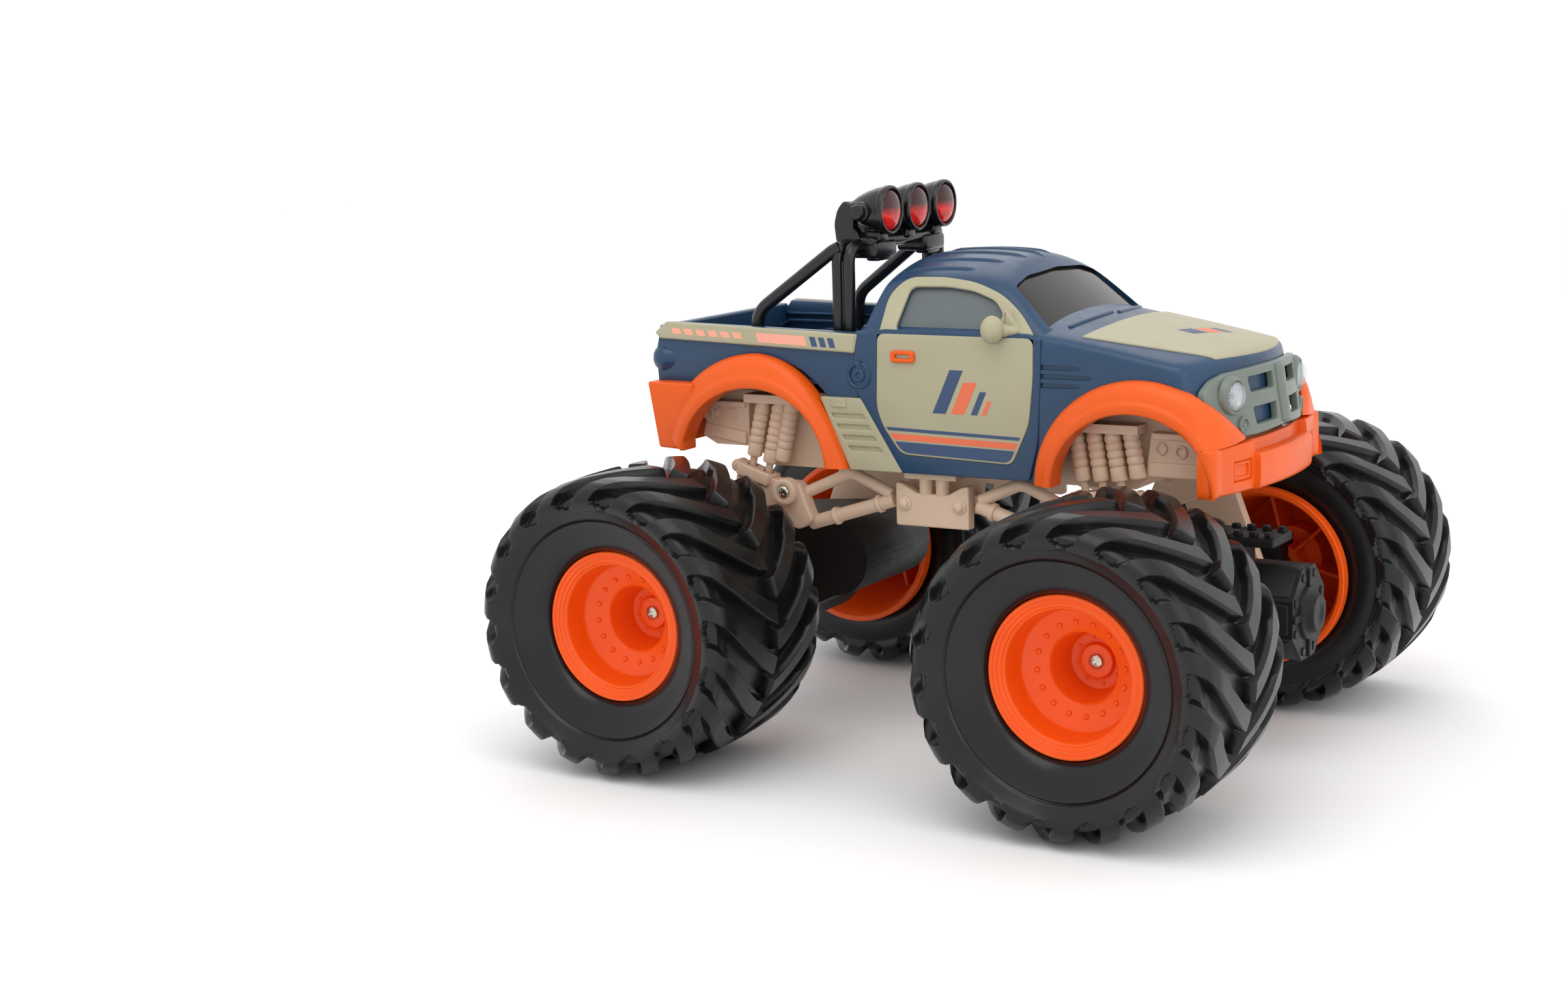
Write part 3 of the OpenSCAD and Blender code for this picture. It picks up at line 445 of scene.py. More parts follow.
def filleted(points, radius, steps=6):
    """A 3-D path with its inner corners rounded."""
    pts = [Vector(p) for p in points]
    out = [pts[0]]
    for i in range(1, len(pts) - 1):
        a, b = (pts[i - 1] - pts[i]), (pts[i + 1] - pts[i])
        cut = min(radius, a.length * 0.49, b.length * 0.49)
        a, b = a.normalized(), b.normalized()
        for t in np.linspace(0, 1, steps + 1):
            out.append(bend(pts[i] + a * cut, pts[i], pts[i] + b * cut, t))
    out.append(pts[-1])
    return out


def tube(points, radius, sides=20, ends=0.35):
    """Round bar along a path, with slightly rounded ends. radius may be a list."""
    pts = [Vector(p) for p in points]
    radii = list(radius) if hasattr(radius, "__len__") else [radius] * len(pts)
    d0, d1 = (pts[1] - pts[0]).normalized(), (pts[-1] - pts[-2]).normalized()
    pts = [pts[0], pts[0] + d0 * ends] + pts[1:-1] + [pts[-1] - d1 * ends, pts[-1]]
    radii = [radii[0] - ends, radii[0]] + radii[1:-1] + [radii[-1], radii[-1] - ends]
    normal = d0.orthogonal().normalized()
    rows, last = [], d0
    for i, p in enumerate(pts):
        d = (pts[min(i + 1, len(pts) - 1)] - pts[max(i - 1, 0)]).normalized()
        normal = last.rotation_difference(d) @ normal
        last = d
        side = d.cross(normal)
        rows.append([p + radii[i] * (cos(a) * normal + sin(a) * side)
                     for a in ring(sides)])
    return grid(rows, closed_u=True, cap=True)


def read_out(bm):
    """A bmesh's points and faces. The bmesh is freed."""
    bm.verts.index_update()
    verts = [tuple(v.co) for v in bm.verts]
    faces = [tuple(v.index for v in f.verts) for f in bm.faces]
    bm.free()
    return verts, faces


def soft_box(lo, hi, radius, steps=3):
    """Box with its edges and corners rounded."""
    bm = bmesh.new()
    bmesh.ops.create_cube(bm, size=1.0)
    for v in bm.verts:
        v.co = Vector([lo[i] + (v.co[i] + 0.5) * (hi[i] - lo[i]) for i in range(3)])
    bmesh.ops.bevel(bm, geom=bm.verts[:] + bm.edges[:], offset=radius, segments=steps, profile=0.5,
        affect="EDGES")
    return read_out(bm)


def adder(form):
    """A method for Parts that adds what a form function makes."""
    def add(self, *values, at=None, **options):
        return self.shape(form(*values, **options), at)
    return add


# gives Parts the methods lathe(..., at=transform), panel(..., at=transform) and so on
for form in (lathe, prism, block, panel, tube, soft_box):
    setattr(Parts, form.__name__, adder(form))


def turned(axis, at=(0, 0, 0)):
    """Transform that stands a lathed shape's +Z along axis, at a point."""
    return Matrix.Translation(at) @ Vector(axis).to_track_quat("Z", "Y").to_matrix().to_4x4()


def smooth_step(x, lo, hi):
    t = min(1.0, max(0.0, (x - lo) / (hi - lo)))
    return t * t * (3 - 2 * t)


# ---- wheels -------------------------------------------------------------------

LUGS = 18
LUG_DEPTH = 4.2
SWEEP = 30      # degrees that a lug leans back from the middle to the shoulder
LUG_UP = [0.0, 0.012, 0.035, 0.06, 0.08]        # pitch shares up a flank
PITCH_TOP = [0.14, 0.20, 0.25, 0.30, 0.36]      # and across a lug
FLANKS = LUG_UP + PITCH_TOP + [0.42, 0.44, 0.465, 0.488, 0.5]
COLUMNS = FLANKS[:-1] + [0.5 + u for u in FLANKS[:-1]]


def lug_height(u):
    """0 in a groove, 1 on a lug, for the share u of the pitch from its first flank."""
    u %= 1.0
    edge = min(u, 0.5 - u) if u <= 0.5 else -1
    return smooth_step(edge, 0.0, 0.072) if edge > 0 else 0.0


def tread_profile(s):
    """(distance from the middle plane, radius on a lug, groove depth) for s 0..1."""
    marks = [0, 0.04, 0.35, 0.70, 0.80, 0.88, 0.94, 0.97, 1.0]
    w = np.interp(s, marks, [0, 0.8, 12.6, 25.5, 29.6, 32.6, 34.2, 34.3, 33.6])
    r = np.interp(s, marks, [52.5, 52.5, 52.3, 51.6, 50.4, 48.3, 45.9, 44.3, 42.4])
    depth = np.interp(s, [0, 0.70, 0.80, 0.90, 1.0], [LUG_DEPTH, LUG_DEPTH, 4.1, 3.5, 2.7])
    return w, r, depth


def tyre_rows():
    """Rows across the tyre from the inner bead to the outer bead: each is
    (w, r, s, half), where s is None off the tread."""
    tread = [0.012, 0.03, 0.045, 0.08, 0.14, 0.2, 0.26, 0.32, 0.38, 0.44, 0.5, 0.55, 0.6, 0.64,
        0.68, 0.71, 0.74, 0.77, 0.80, 0.83, 0.86, 0.885, 0.91, 0.935, 0.95, 0.962, 0.973, 0.984,
        1.0]
    outer_wall = [(33.0, 41.7), (32.3, 40.7), (31.6, 39.7), (31.05, 38.9), (30.75, 38.45),
        (30.5, 38.2), (29.95, 37.95), (29.75, 37.7), (30.0, 37.35), (29.8, 37.0), (29.2, 36.0),
        (28.6, 34.8), (27.9, 32.6), (27.0, 30.4), (25.9, 28.4), (24.6, 27.0), (23.4, 26.3),
        (21.0, 26.35)]
    inner_wall = [(-33.6, 41.7), (-34.0, 40.5), (-34.2, 38), (-34.4, 36), (-34.2, 34.2),
        (-33.9, 33.0), (-33.6, 31.2)]
    hidden = [(-31.6, 32.5), (-31.0, 41.5), (-27.0, 45.6), (0.0, 46.2), (27.0, 45.6), (30.0, 41.5),
        (27.6, 38.0), (25.4, 33.0), (21.0, 28.0)]
    rows = [(w, r, None, 1) for w, r in reversed(inner_wall)]
    rows += [(None, None, s, -1) for s in reversed(tread)]
    rows += [(None, None, s, 1) for s in tread]
    rows += [(w, r, None, 1) for w, r in outer_wall]
    rows += [(w, r, None, 1) for w, r in reversed(hidden)]
    return rows


def tyre_mesh(side):
    pitch = 2 * pi / LUGS
    lines = []
    for w, r, s, half in tyre_rows():
        line = []
        for lug in range(LUGS):
            for u in COLUMNS:
                if s is None:
                    sweep = radians(SWEEP)
                    a = (lug + u) * pitch + sweep
                    line.append((r * cos(a), side * w, r * sin(a)))
                    continue
                width, top, depth = tread_profile(s)
                sweep = radians(SWEEP) * (width / HALF_W) ** 1.3
                phase = u if half > 0 else (u + 0.5) % 1.0
                # a lug's trailing flank steps out towards the shoulder
                on_flank = smooth_step(phase, 0.30, 0.44) * (1 - smooth_step(phase, 0.52, 0.75))
                kink = 0.075 * (smooth_step(s, 0.50, 0.56) - 0.4 * smooth_step(s, 0.66, 0.9))
                lift = lug_height(phase)
                # a groove ends in a round pocket on the shoulder
                across = min(1.0, abs((phase - 0.75) / 0.25)) if phase > 0.5 else 1.0
                pocket = 1.0 - smooth_step(s + 0.022 * across * across, 0.972, 0.998)
                cut = depth * (1 - lift) * pocket
                middle = smooth_step(s, 0.0, 0.045)
                slope = radians(78) * smooth_step(s, 0.68, 0.97)
                rr = top - cut * cos(slope) - (1 - middle) * lift * 1.2
                a = (lug + u + kink * on_flank) * pitch + sweep
                line.append((rr * cos(a), side * half * (width - cut * sin(slope)), rr * sin(a)))
        lines.append(line)
    verts, faces = grid(lines, closed_u=True, closed_v=True)
    holder = make("tyre_form", verts, faces, "tyre_rubber", smooth=34)
    mesh = holder.data
    bpy.data.objects.remove(holder)
    return mesh


def wheel_transform(end, side):
    """Stands a shape lathed round +Z at a wheel, with +Z pointing outboard."""
    return (Matrix.Translation((end * AXLE_X, side * TYRE_Y, AXLE_Z))
            @ Matrix.Rotation(-side * pi / 2, 4, "X"))


def dome(r, h, steps=14):
    return lathe([(r, -0.2), (r, 0.0), (r * 0.92, h * 0.42), (r * 0.68, h * 0.76),
                  (r * 0.36, h * 0.95), (0.0, h)], steps)


def rim_shapes():
    """The rim with +Z outboard from the tyre's middle plane."""
    parts = Parts()
    parts.lathe([(26.05, 17.5), (26.1, 22.6), (25.95, 23.15), (25.6, 23.4), (25.0, 23.4),
        (24.75, 23.25), (24.65, 22.95), (24.5, 22.8), (24.1, 22.8), (23.95, 22.95), (23.6, 22.95),
        (23.4, 22.8), (23.3, 22.5), (23.15, 22.35), (22.75, 22.35), (22.6, 22.45), (22.2, 22.4),
        (22.0, 22.2), (21.9, 21.9), (21.75, 21.75), (21.4, 21.7), (21.05, 21.4), (20.85, 20.9),
        (20.75, 20.2), (19.9, 14.4), (19.75, 13.5), (19.4, 12.9), (18.8, 12.65), (12.1, 9.7),
        (11.5, 9.3), (11.2, 8.7), (9.5, -1.4), (9.2, -2.0), (8.7, -2.3), (6.1, -2.5),
        (5.75, -2.35), (5.55, -2.0), (5.4, -0.8), (5.15, -0.55), (4.8, -0.5), (2.06, -0.5),
        (2.06, -14), (6.5, -14), (6.5, -4.5), (12, -4.5), (12.4, 7.2), (21.6, 10.2), (23.6, 9.6),
        (28.2, -34), (30.4, -40.2), (30.7, -40.5), (32.2, -40.5), (32.5, -40.2), (32.5, -35.8),
        (32.2, -35.5), (30.4, -34.9), (29.8, -34)], 128, closed=True)
    for i in range(16):
        a = radians(i * 22.5 + 6)
        parts.shape(dome(0.95, 0.8),
            at=Matrix.Translation((15.1 * cos(a), 15.1 * sin(a), 11.05)))
    for i in range(8):
        a = radians(i * 45 + 12)
        parts.shape(dome(0.62, 0.5, 12),
            at=Matrix.Translation((7.4 * cos(a), 7.4 * sin(a), -2.45)))
    # stiffening webs in the open back of the cup
    for i in range(6):
        turn = Matrix.Rotation(radians(60 * i + 15), 4, "Z")
        parts.prism([(6.2, -13.6), (11.8, -8.0), (24.6, -8.0), (23.6, 9.0), (12.2, 6.8),
            (11.8, -3.8), (6.2, -3.8)], -0.6, 0.6, at=turn)
    return parts


def cross_head(radius, height, arm, slot_half, depth):
    """Pan head of a screw with a cross recess, lathed round +Z with its seat at 0."""
    marks = {0.0, slot_half, slot_half + 0.05, arm, arm + 0.05}
    marks = sorted(marks | set(np.linspace(0, radius, 9)))
    marks = [-m for m in reversed(marks) if m > 0] + marks
    rows = []
    for x in marks:
        row = []
        for y in marks:
            d = hypot(x, y)
            k = radius / d if d > radius else 1.0
            px, py = x * k, y * k
            d = min(d, radius)
            z = height * (1 - 0.45 * (d / radius) ** 2) if d < radius else height * 0.42
            inside = ((abs(x) <= slot_half + 1e-6 and abs(y) <= arm + 1e-6)
                      or (abs(y) <= slot_half + 1e-6 and abs(x) <= arm + 1e-6))
            if inside:
                z -= depth * (1 - 0.35 * d / arm)
            row.append((px, py, z))
        rows.append(row)
    parts = Parts()
    parts.shape(grid(rows))
    parts.lathe([(radius, height * 0.42), (radius, 0.0), (0.0, 0.0)], 48)
    return parts.verts, parts.faces


def wheels():
    forms = {side: tyre_mesh(side) for side in (LEFT, RIGHT)}
    for end in (FRONT, REAR):
        for side, word in SIDES:
            where = ("front_" if end == FRONT else "rear_") + word
            body = "wheel_" + where if end == FRONT else "rear_wheels"
            tyre = linked("tyre_tread_" + where, forms[side])
            tyre.location = Vector((end * AXLE_X, side * TYRE_Y, AXLE_Z)) * MM
            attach(tyre, body)
            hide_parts("tyre_" + where)
            at = wheel_transform(end, side)
            shapes = rim_shapes()
            rim = Parts().add(shapes.verts, shapes.faces, at)
            rim.make("rim_cup_" + where, "rim_orange", body=body, replaces=["rim_" + where],
                slot="orange_plastic")
            screw = Parts()
            screw.shape(cross_head(2.35, 1.35, 1.45, 0.32, 0.8),
                at=at @ Matrix.Translation((0, 0, -0.35)) @ Matrix.Rotation(0.5, 4, "Z"))
            holder = ("steer_%s_hub" % word) if end == FRONT else body
            screw.lathe([(1.05, -7.4), (1.05, 0)], 20, at=at)
            screw.make("wheel_screw_head_" + where, "nickel_screw", body=holder)
    for side in ("left", "right"):
        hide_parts("wheel_screw_" + side)
    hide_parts("rear_wheel_screws")


wheels()


# ---- body shell -------------------------------------------------------------------

NOSE_RAKE, NOSE_CAMBER = 0.16, 0.0062
EDGE = 0.85                     # sharpness of the shell's soft edges, per mm
LEAN = radians(27.7)            # lean of the cab's sides
BELT = 147.2                    # foot of the cab windows
SILL_Z = 99.3


def soft_max(values):
    values = np.stack(values)
    top = values.max(axis=0)
    return top + np.log(np.exp(EDGE * (values - top)).sum(axis=0)) / EDGE


def cab_form(x, y, z):
    """Below 0 inside the cab above the belt line."""
    side = (np.abs(y) - 43.6) * cos(LEAN) + (z - 148.4) * sin(LEAN)
    screen = (x - 51.8 + 0.0035 * y * y) * 0.651 + (z - 148.4) * 0.759
    rear = (-27.6 - x + 0.0012 * y * y) * 0.94 + (z - 147) * 0.346
    roof = z - 173.4 + 0.0060 * y * y + 0.0034 * (x - 5) ** 2
    return soft_max([side, screen, rear, roof, np.abs(y) - 44.4])


def hull_form(x, y, z):
    """Below 0 inside the cab's lower half, the hood and the nose."""
    side = np.abs(y) - 45.2 + 0.0009 * (z - 128) ** 2
    hood = (z - 152.8 + 0.190 * (x - 50) + 0.0024 * y * y) * 0.98
    belt = (z - 149.0 + 0.35 * (np.abs(y) - 43.5)) * 0.94
    nose = (x - 108.0 + NOSE_RAKE * (z - 128) + NOSE_CAMBER * y * y) * 0.98
    return soft_max([side, hood, belt, nose, -26.6 - x, 97.0 - z])


def radial_mesh(form, centre, low, turns, rings, inset=0.0, reach=120.0):
    """The form's surface as seen from a point inside it, from elevation low to the top."""
    cx, cy, cz = centre
    around = ring(turns)
    rows = []
    for lift in np.radians(np.append(np.linspace(low, 88.5, rings), 89.7)):
        dx, dy, dz = cos(lift) * np.cos(around), cos(lift) * np.sin(around), sin(lift)
        near, far = np.zeros(turns), np.full(turns, reach)
        for _ in range(36):
            mid = (near + far) / 2
            inside = form(cx + dx * mid, cy + dy * mid, cz + dz * mid) + inset < 0
            near, far = np.where(inside, mid, near), np.where(inside, far, mid)
        rows.append([(cx + a * t, cy + b * t, cz + dz * t) for a, b, t in zip(dx, dy, near)])
    verts, faces = grid(rows, closed_u=True)
    faces.append(tuple((len(rows) - 1) * turns + u for u in range(turns)))
    return verts, faces


def height_of(form, x, y, low=130.0, high=180.0):
    """Height of the form's upper surface over a point."""
    for _ in range(40):
        mid = (low + high) / 2
        if form(np.array(x), np.array(y), np.array(mid)) < 0:
            low = mid
        else:
            high = mid
    return low


def trimmed(pair, keep):
    """Only the faces whose centre keep() accepts."""
    verts, faces = pair
    kept = []
    for f in faces:
        c = sum((Vector(verts[i]) for i in f), Vector()) / len(f)
        if keep(c):
            kept.append(f)
    return verts, kept


def sliced(pair, point, normal, clear=True):
    """Cuts a mesh along a plane. The side away from its normal is cleared or kept."""
    bm = bmesh.new()
    made = [bm.verts.new(v) for v in pair[0]]
    for f in pair[1]:
        bm.faces.new([made[i] for i in f])
    bmesh.ops.bisect_plane(bm, geom=bm.verts[:] + bm.edges[:] + bm.faces[:], dist=1e-4,
        plane_co=point, plane_no=normal, clear_inner=clear)
    return read_out(bm)


def cut_out(obj, cutters, wall):
    """Gives a sheet its wall and cuts openings through it. The result is a plain mesh."""
    solid = obj.modifiers.new("wall", "SOLIDIFY")
    solid.thickness = wall * MM
    solid.offset = -1
    tools = []
    for i, pair in enumerate(cutters):
        tool = linked("cutter", solid_mesh("cutter", pair))
        tools.append(tool)
        made = obj.modifiers.new("cut%d" % i, "BOOLEAN")
        made.operation = "DIFFERENCE"
        made.solver = "EXACT"
        made.object = tool
    bpy.context.view_layer.update()
    graph = bpy.context.evaluated_depsgraph_get()
    mesh = bpy.data.meshes.new_from_object(obj.evaluated_get(graph))
    obj.modifiers.clear()
    obj.data = mesh
    for tool in tools:
        bpy.data.objects.remove(tool)
    mesh.shade_smooth()
    mesh.set_sharp_from_angle(angle=radians(32))


def along_x(pair):
    """Turns a slab drawn in X and Z into one drawn in Y and Z and stretched along X."""
    return [(y, x, z) for x, y, z in pair[0]], [tuple(reversed(f)) for f in pair[1]]


def leaned(pair, side):
    """Lays a panel drawn in X and height above the belt onto the cab's leaning side."""
    c, s = cos(LEAN), sin(LEAN)
    verts = [(x, side * (43.9 + y * c - (z - BELT) * tan(LEAN)), z + y * s)
             for x, y, z in pair[0]]
    return verts, pair[1]


FRONT_ARCH = (79.5, 99.0)
REAR_ARCH = (-66.0, 100.0)
WINDOW = rounded([(-11.2, 148.2), (22, 148.2), (29.5, 153.5), (25, 158.6), (16, 161.6), (6, 162.8),
    (-8.2, 162.6)], 2.6)
FRAME = rounded([(-17.2, 144), (42, 144), (41.2, 148.5), (35, 155.2), (27, 160.8), (16, 164.6),
    (4, 166), (-10, 165.8), (-16.2, 160)], 4)
DOOR = rounded([(-17.2, 147.6), (-17.4, 140), (-18, 122), (-15.6, 115.5), (-8.6, 106),
    (33.6, 104.7), (36, 109.8), (40, 118.6), (41.6, 134), (41.8, 147.6)], 3.0)
SCREEN = rounded([(-38.2, 149.6), (38.2, 149.6), (33.2, 163.6), (22, 166.4), (0, 167.6),
    (-22, 166.4), (-33.2, 163.6)], 2.5)
REAR_SCREEN = rounded([(-33, 151), (33, 151), (28, 163.4), (-28, 163.4)], 3)


def in_front_arch(c):
    return ((c.x - FRONT_ARCH[0]) / 34.5) ** 2 + ((c.z - FRONT_ARCH[1]) / 33.5) ** 2 < 1


def body_shell():
    cab = make("cab_shell", *radial_mesh(cab_form, (8, 0, 150), -9, 200, 70), "blue_shell",
        replaces=["body_shell"])
    cut_out(cab, [prism(WINDOW, -60, 60), along_x(prism(SCREEN, 24, 80)),
        along_x(prism(REAR_SCREEN, -60, -12))], 1.5)

    shape = radial_mesh(hull_form, (44, 0, 124), -34, 320, 96)
    shape = sliced(shape, (0, 0, SILL_Z), (0, 0, 1))
    shape = trimmed(shape, lambda c: not in_front_arch(c) and not (c.x > 96 and c.z < 118))
    hull = make("hood_and_sides", *shape, "blue_shell")
    slots = []
    for i, reach in enumerate((57.5, 61.8, 57.5)):
        z = 138.1 - 3.0 * i
        slots.append(prism(rounded([(44, z + 0.9), (reach, z + 0.75), (reach + 1, z - 0.4),
            (reach - 1.5, z - 0.8), (44, z - 0.9)], 0.5, 3), -44.2, -60))
    slots += [([(x, -y, z) for x, y, z in v], [tuple(reversed(f)) for f in fs]) for v, fs in slots]
    cut_out(hull, slots, 1.8)

    ribs = Parts()
    for y, x0, x1 in ((0, -13, 26), (9.5, -14, 24), (19, -15, 20), (27.5, -15, 13)):
        line = []
        for x in np.linspace(x0, x1, 22):
            line.append((x, y, height_of(cab_form, x, y) - 0.55))
        radii = [1.25 * min(1, 0.25 + 0.3 * min(i, 21 - i)) for i in range(22)]
        ribs.tube(line, radii, 14, 0.2)
    ribs.mirrored()
    # cowl and its moulded wipers at the foot of the windscreen
    for y0, y1 in ((-33, -3), (-1, 27)):
        line = [(51.8 - 0.0035 * y * y + 1.2 - 0.05 * (y - y0), y, 0)
                for y in np.linspace(y0, y1, 14)]
        line = [(x, y, height_of(hull_form, x + 1.5, y) + 0.3) for x, y, _ in line]
        ribs.tube(line, 0.75, 12)
    ribs.make("roof_ribs_and_wipers", "blue_shell")


def door_band():
    parts = Parts()
    hole = rounded([(-17.9, 149), (-18.1, 140), (-18.7, 121.8), (-16.2, 115.2), (-8.9, 105.3),
        (34.1, 104.0), (36.8, 109.6), (40.8, 118.4), (42.4, 134), (42.6, 149)], 3.2)
    outer = rounded([(-26.6, 147.9), (-26.2, 127), (-24.6, 124.6), (-8.6, 99.5), (40, 99.4),
        (43.2, 112), (44.2, 134), (44.4, 147.9)], 1.6)
    parts.panel([outer, hole], 44.0, 45.7, 0.6, 3)
    parts.mirrored()
    # fuel cap ring with its notch and knob
    for side in (LEFT, RIGHT):
        at = turned((0, side, 0), (-24.7, side * 44.6, 132.7))
        parts.lathe([(4.7, 0), (4.7, 1.3), (4.4, 1.6), (3.9, 1.6), (3.6, 1.3), (3.6, 0.7),
            (2.3, 0.7), (2.2, 1.5), (1.9, 1.7), (1.2, 1.7), (0.9, 1.2), (0, 1.1)], 40, at=at)
        parts.block((-1.0, -0.8, 0.6), (1.0, 0.8, 1.9), at=at @ Matrix.Translation((0, 4.4, 0)))
    parts.make("cab_side_band", "blue_shell")


def clipped(outline, low, high):
    """The part of an outline between two lines z = a + b x."""
    def cut(points, line, sign):
        out = []
        for i, p in enumerate(points):
            q = points[(i + 1) % len(points)]
            dp = sign * (p[1] - line[0] - line[1] * p[0])
            dq = sign * (q[1] - line[0] - line[1] * q[0])
            if dp >= 0:
                out.append(p)
            if dp * dq < 0:
                t = dp / (dp - dq)
                out.append((p[0] + t * (q[0] - p[0]), p[1] + t * (q[1] - p[1])))
        return out
    return cut(cut(outline, low, 1), high, -1)


def slanted(x, z, width, height, slant=0.45):
    """Parallelogram with its lower left corner at (x, z)."""
    return [(x, z), (x + width, z), (x + width + slant * height, z + height),
            (x + slant * height, z + height)]


STRIPE_SLOT = {"navy": "blue_shell", "coral": "orange_plastic", "salmon": "orange_plastic"}


def flat_stripes(shapes, y0, y1):
    """Printed stripes between two Y planes, on both sides of the truck."""
    parts = Parts()
    for outline in shapes:
        parts.prism(outline, y0, y1)
    return parts.mirrored()


def doors():
    skin = Parts()
    skin.panel([DOOR], 44.2, 46.0, 0.45, 3)
    frame_panel = panel([FRAME, WINDOW], -0.4, 1.25, 0.45, 3)
    frame_panel = sliced(frame_panel, (0, 0, BELT - 0.2), (0, 0, 1))
    skin.shape(leaned(frame_panel, LEFT))
    skin.mirrored()
    skin.make("door_skins", "cream_plastic", replaces=["door_panels"])

    slope = -0.022
    inner = [(x * 0.965 + 0.42, (z - 126) * 0.965 + 126) for x, z in DOOR]
    bands = { "navy": [clipped(inner, (114.0, slope), (115.1, slope)),
        clipped(inner, (104.2, slope), (110.3, slope))],
        "coral": [clipped(inner, (110.9, slope), (113.0, slope))], }
    bands["navy"] += [slanted(4, 121, 5, 15), slanted(18.5, 121, 2.4, 8)]
    bands["coral"] += [slanted(11, 121, 5, 11), slanted(22.6, 121, 1.6, 5)]
    for key, shapes in bands.items():
        flat_stripes(shapes, 45.9, 46.08).make("door_stripes_" + key, "stripe_" + key,
            slot=STRIPE_SLOT[key])

    handle = Parts()
    handle.panel([rounded(rect(-11.6, 137.9, -2.4, 142), 1.4),
        rounded(rect(-9.9, 139.3, -4.1, 140.6), 0.6)], 45.7, 47.2, 0.5, 3)
    handle.mirrored()
    handle.make("door_handle_rings", "orange_plastic", replaces=["door_handles"])


def mirrors():
    parts = Parts()
    head = lathe([(0, -1.5), (2.6, -1.4), (3.8, -0.6), (4.2, 0.6), (4.1, 2.0), (3.3, 3.4),
        (1.8, 4.3), (0, 4.6)], 36)
    stretch = Matrix.Diagonal((1.15, 0.95, 1.0, 1.0))
    parts.shape(head, at=turned((0.72, 0.62, 0), (27.6, 48.2, 150.4))
                @ Matrix.Rotation(radians(90), 4, "Z") @ stretch)
    parts.tube(filleted([(29, 46.6, 150), (32.5, 45.2, 150), (36, 43.2, 149.6)], 2),
        [2.2] * 4 + [1.8] * 4 + [1.5], 16)
    parts.panel([rounded([(30.4, 148.0), (38.6, 148.0), (30.8, 157.0)], 1.0)], 42.0, 44.6, 0.5)
    parts.mirrored()
    parts.make("mirror_heads", "cream_plastic", replaces=["mirrors"], smooth=40)


def glazing():
    form = radial_mesh(cab_form, (8, 0, 150), -6, 160, 56, inset=1.1)

    def at_side(c):
        return abs(c.y) > 33.0 and -13.5 < c.x < 32.5

    make("window_glass", *trimmed(form, lambda c: not at_side(c)), "tinted_glazing",
         replaces=["glazing"], smooth=60)
    make("side_window_glass", *trimmed(form, at_side), "side_glazing", smooth=60,
        slot="tinted_glazing")


def patch(height, lift, plan, thick=0.9):
    """A thin slab that lies on a surface. plan(u, v) gives X and Y for 0..1 both ways."""
    n = 28
    rows = []
    for i in np.linspace(0, 1, n + 1):
        row = []
        for j in np.linspace(0, 1, n + 1):
            x, y = plan(i, j)
            row.append((x, y, height(x, y)))
        rows.append(row)
    parts = Parts()
    parts.shape(grid([[(x, y, z + lift) for x, y, z in row] for row in rows]))
    rim = (rows[0] + [row[-1] for row in rows[1:]] + rows[-1][-2::-1]
           + [row[0] for row in rows[-2:0:-1]])
    parts.shape(grid([[(x, y, z + lift) for x, y, z in rim],
                      [(x, y, z + lift - thick) for x, y, z in rim]], closed_u=True))
    return parts.verts, parts.faces


def hood_height(x, y):
    return height_of(hull_form, x, y)


def hood():
    def plan(u, v):
        t = 2 * v - 1
        rear = 56.6 + 3.2 * (1 - t * t)
        front = 99.3 + 6.2 * (1 - t * t)
        x = rear + (front - rear) * u
        half = 39.0 - (39.0 - 29.3) * u ** 1.15
        return x, half * t

    def bars(y0, y1, x0, x1):
        return lambda u, v: (x0 + (x1 - x0) * u + 0.35 * (y0 + (y1 - y0) * v), y0 + (y1 - y0) * v)

    make("hood_skin", *patch(hood_height, 0.55, plan, 1.4), "cream_plastic",
        replaces=["hood_panel"], bevel=0.35, segments=3)
    for key, spans in (("navy", [(-9, -2.5), (6.5, 9.5)]), ("coral", [(-1, 5)])):
        made = Parts()
        for y0, y1 in spans:
            made.shape(patch(hood_height, 0.62, bars(y0, y1, 81, 87), 0.3))
        made.make("hood_stripes_" + key, "stripe_" + key, slot=STRIPE_SLOT[key])


# ---- cargo bed ----------------------------------------------------------------------

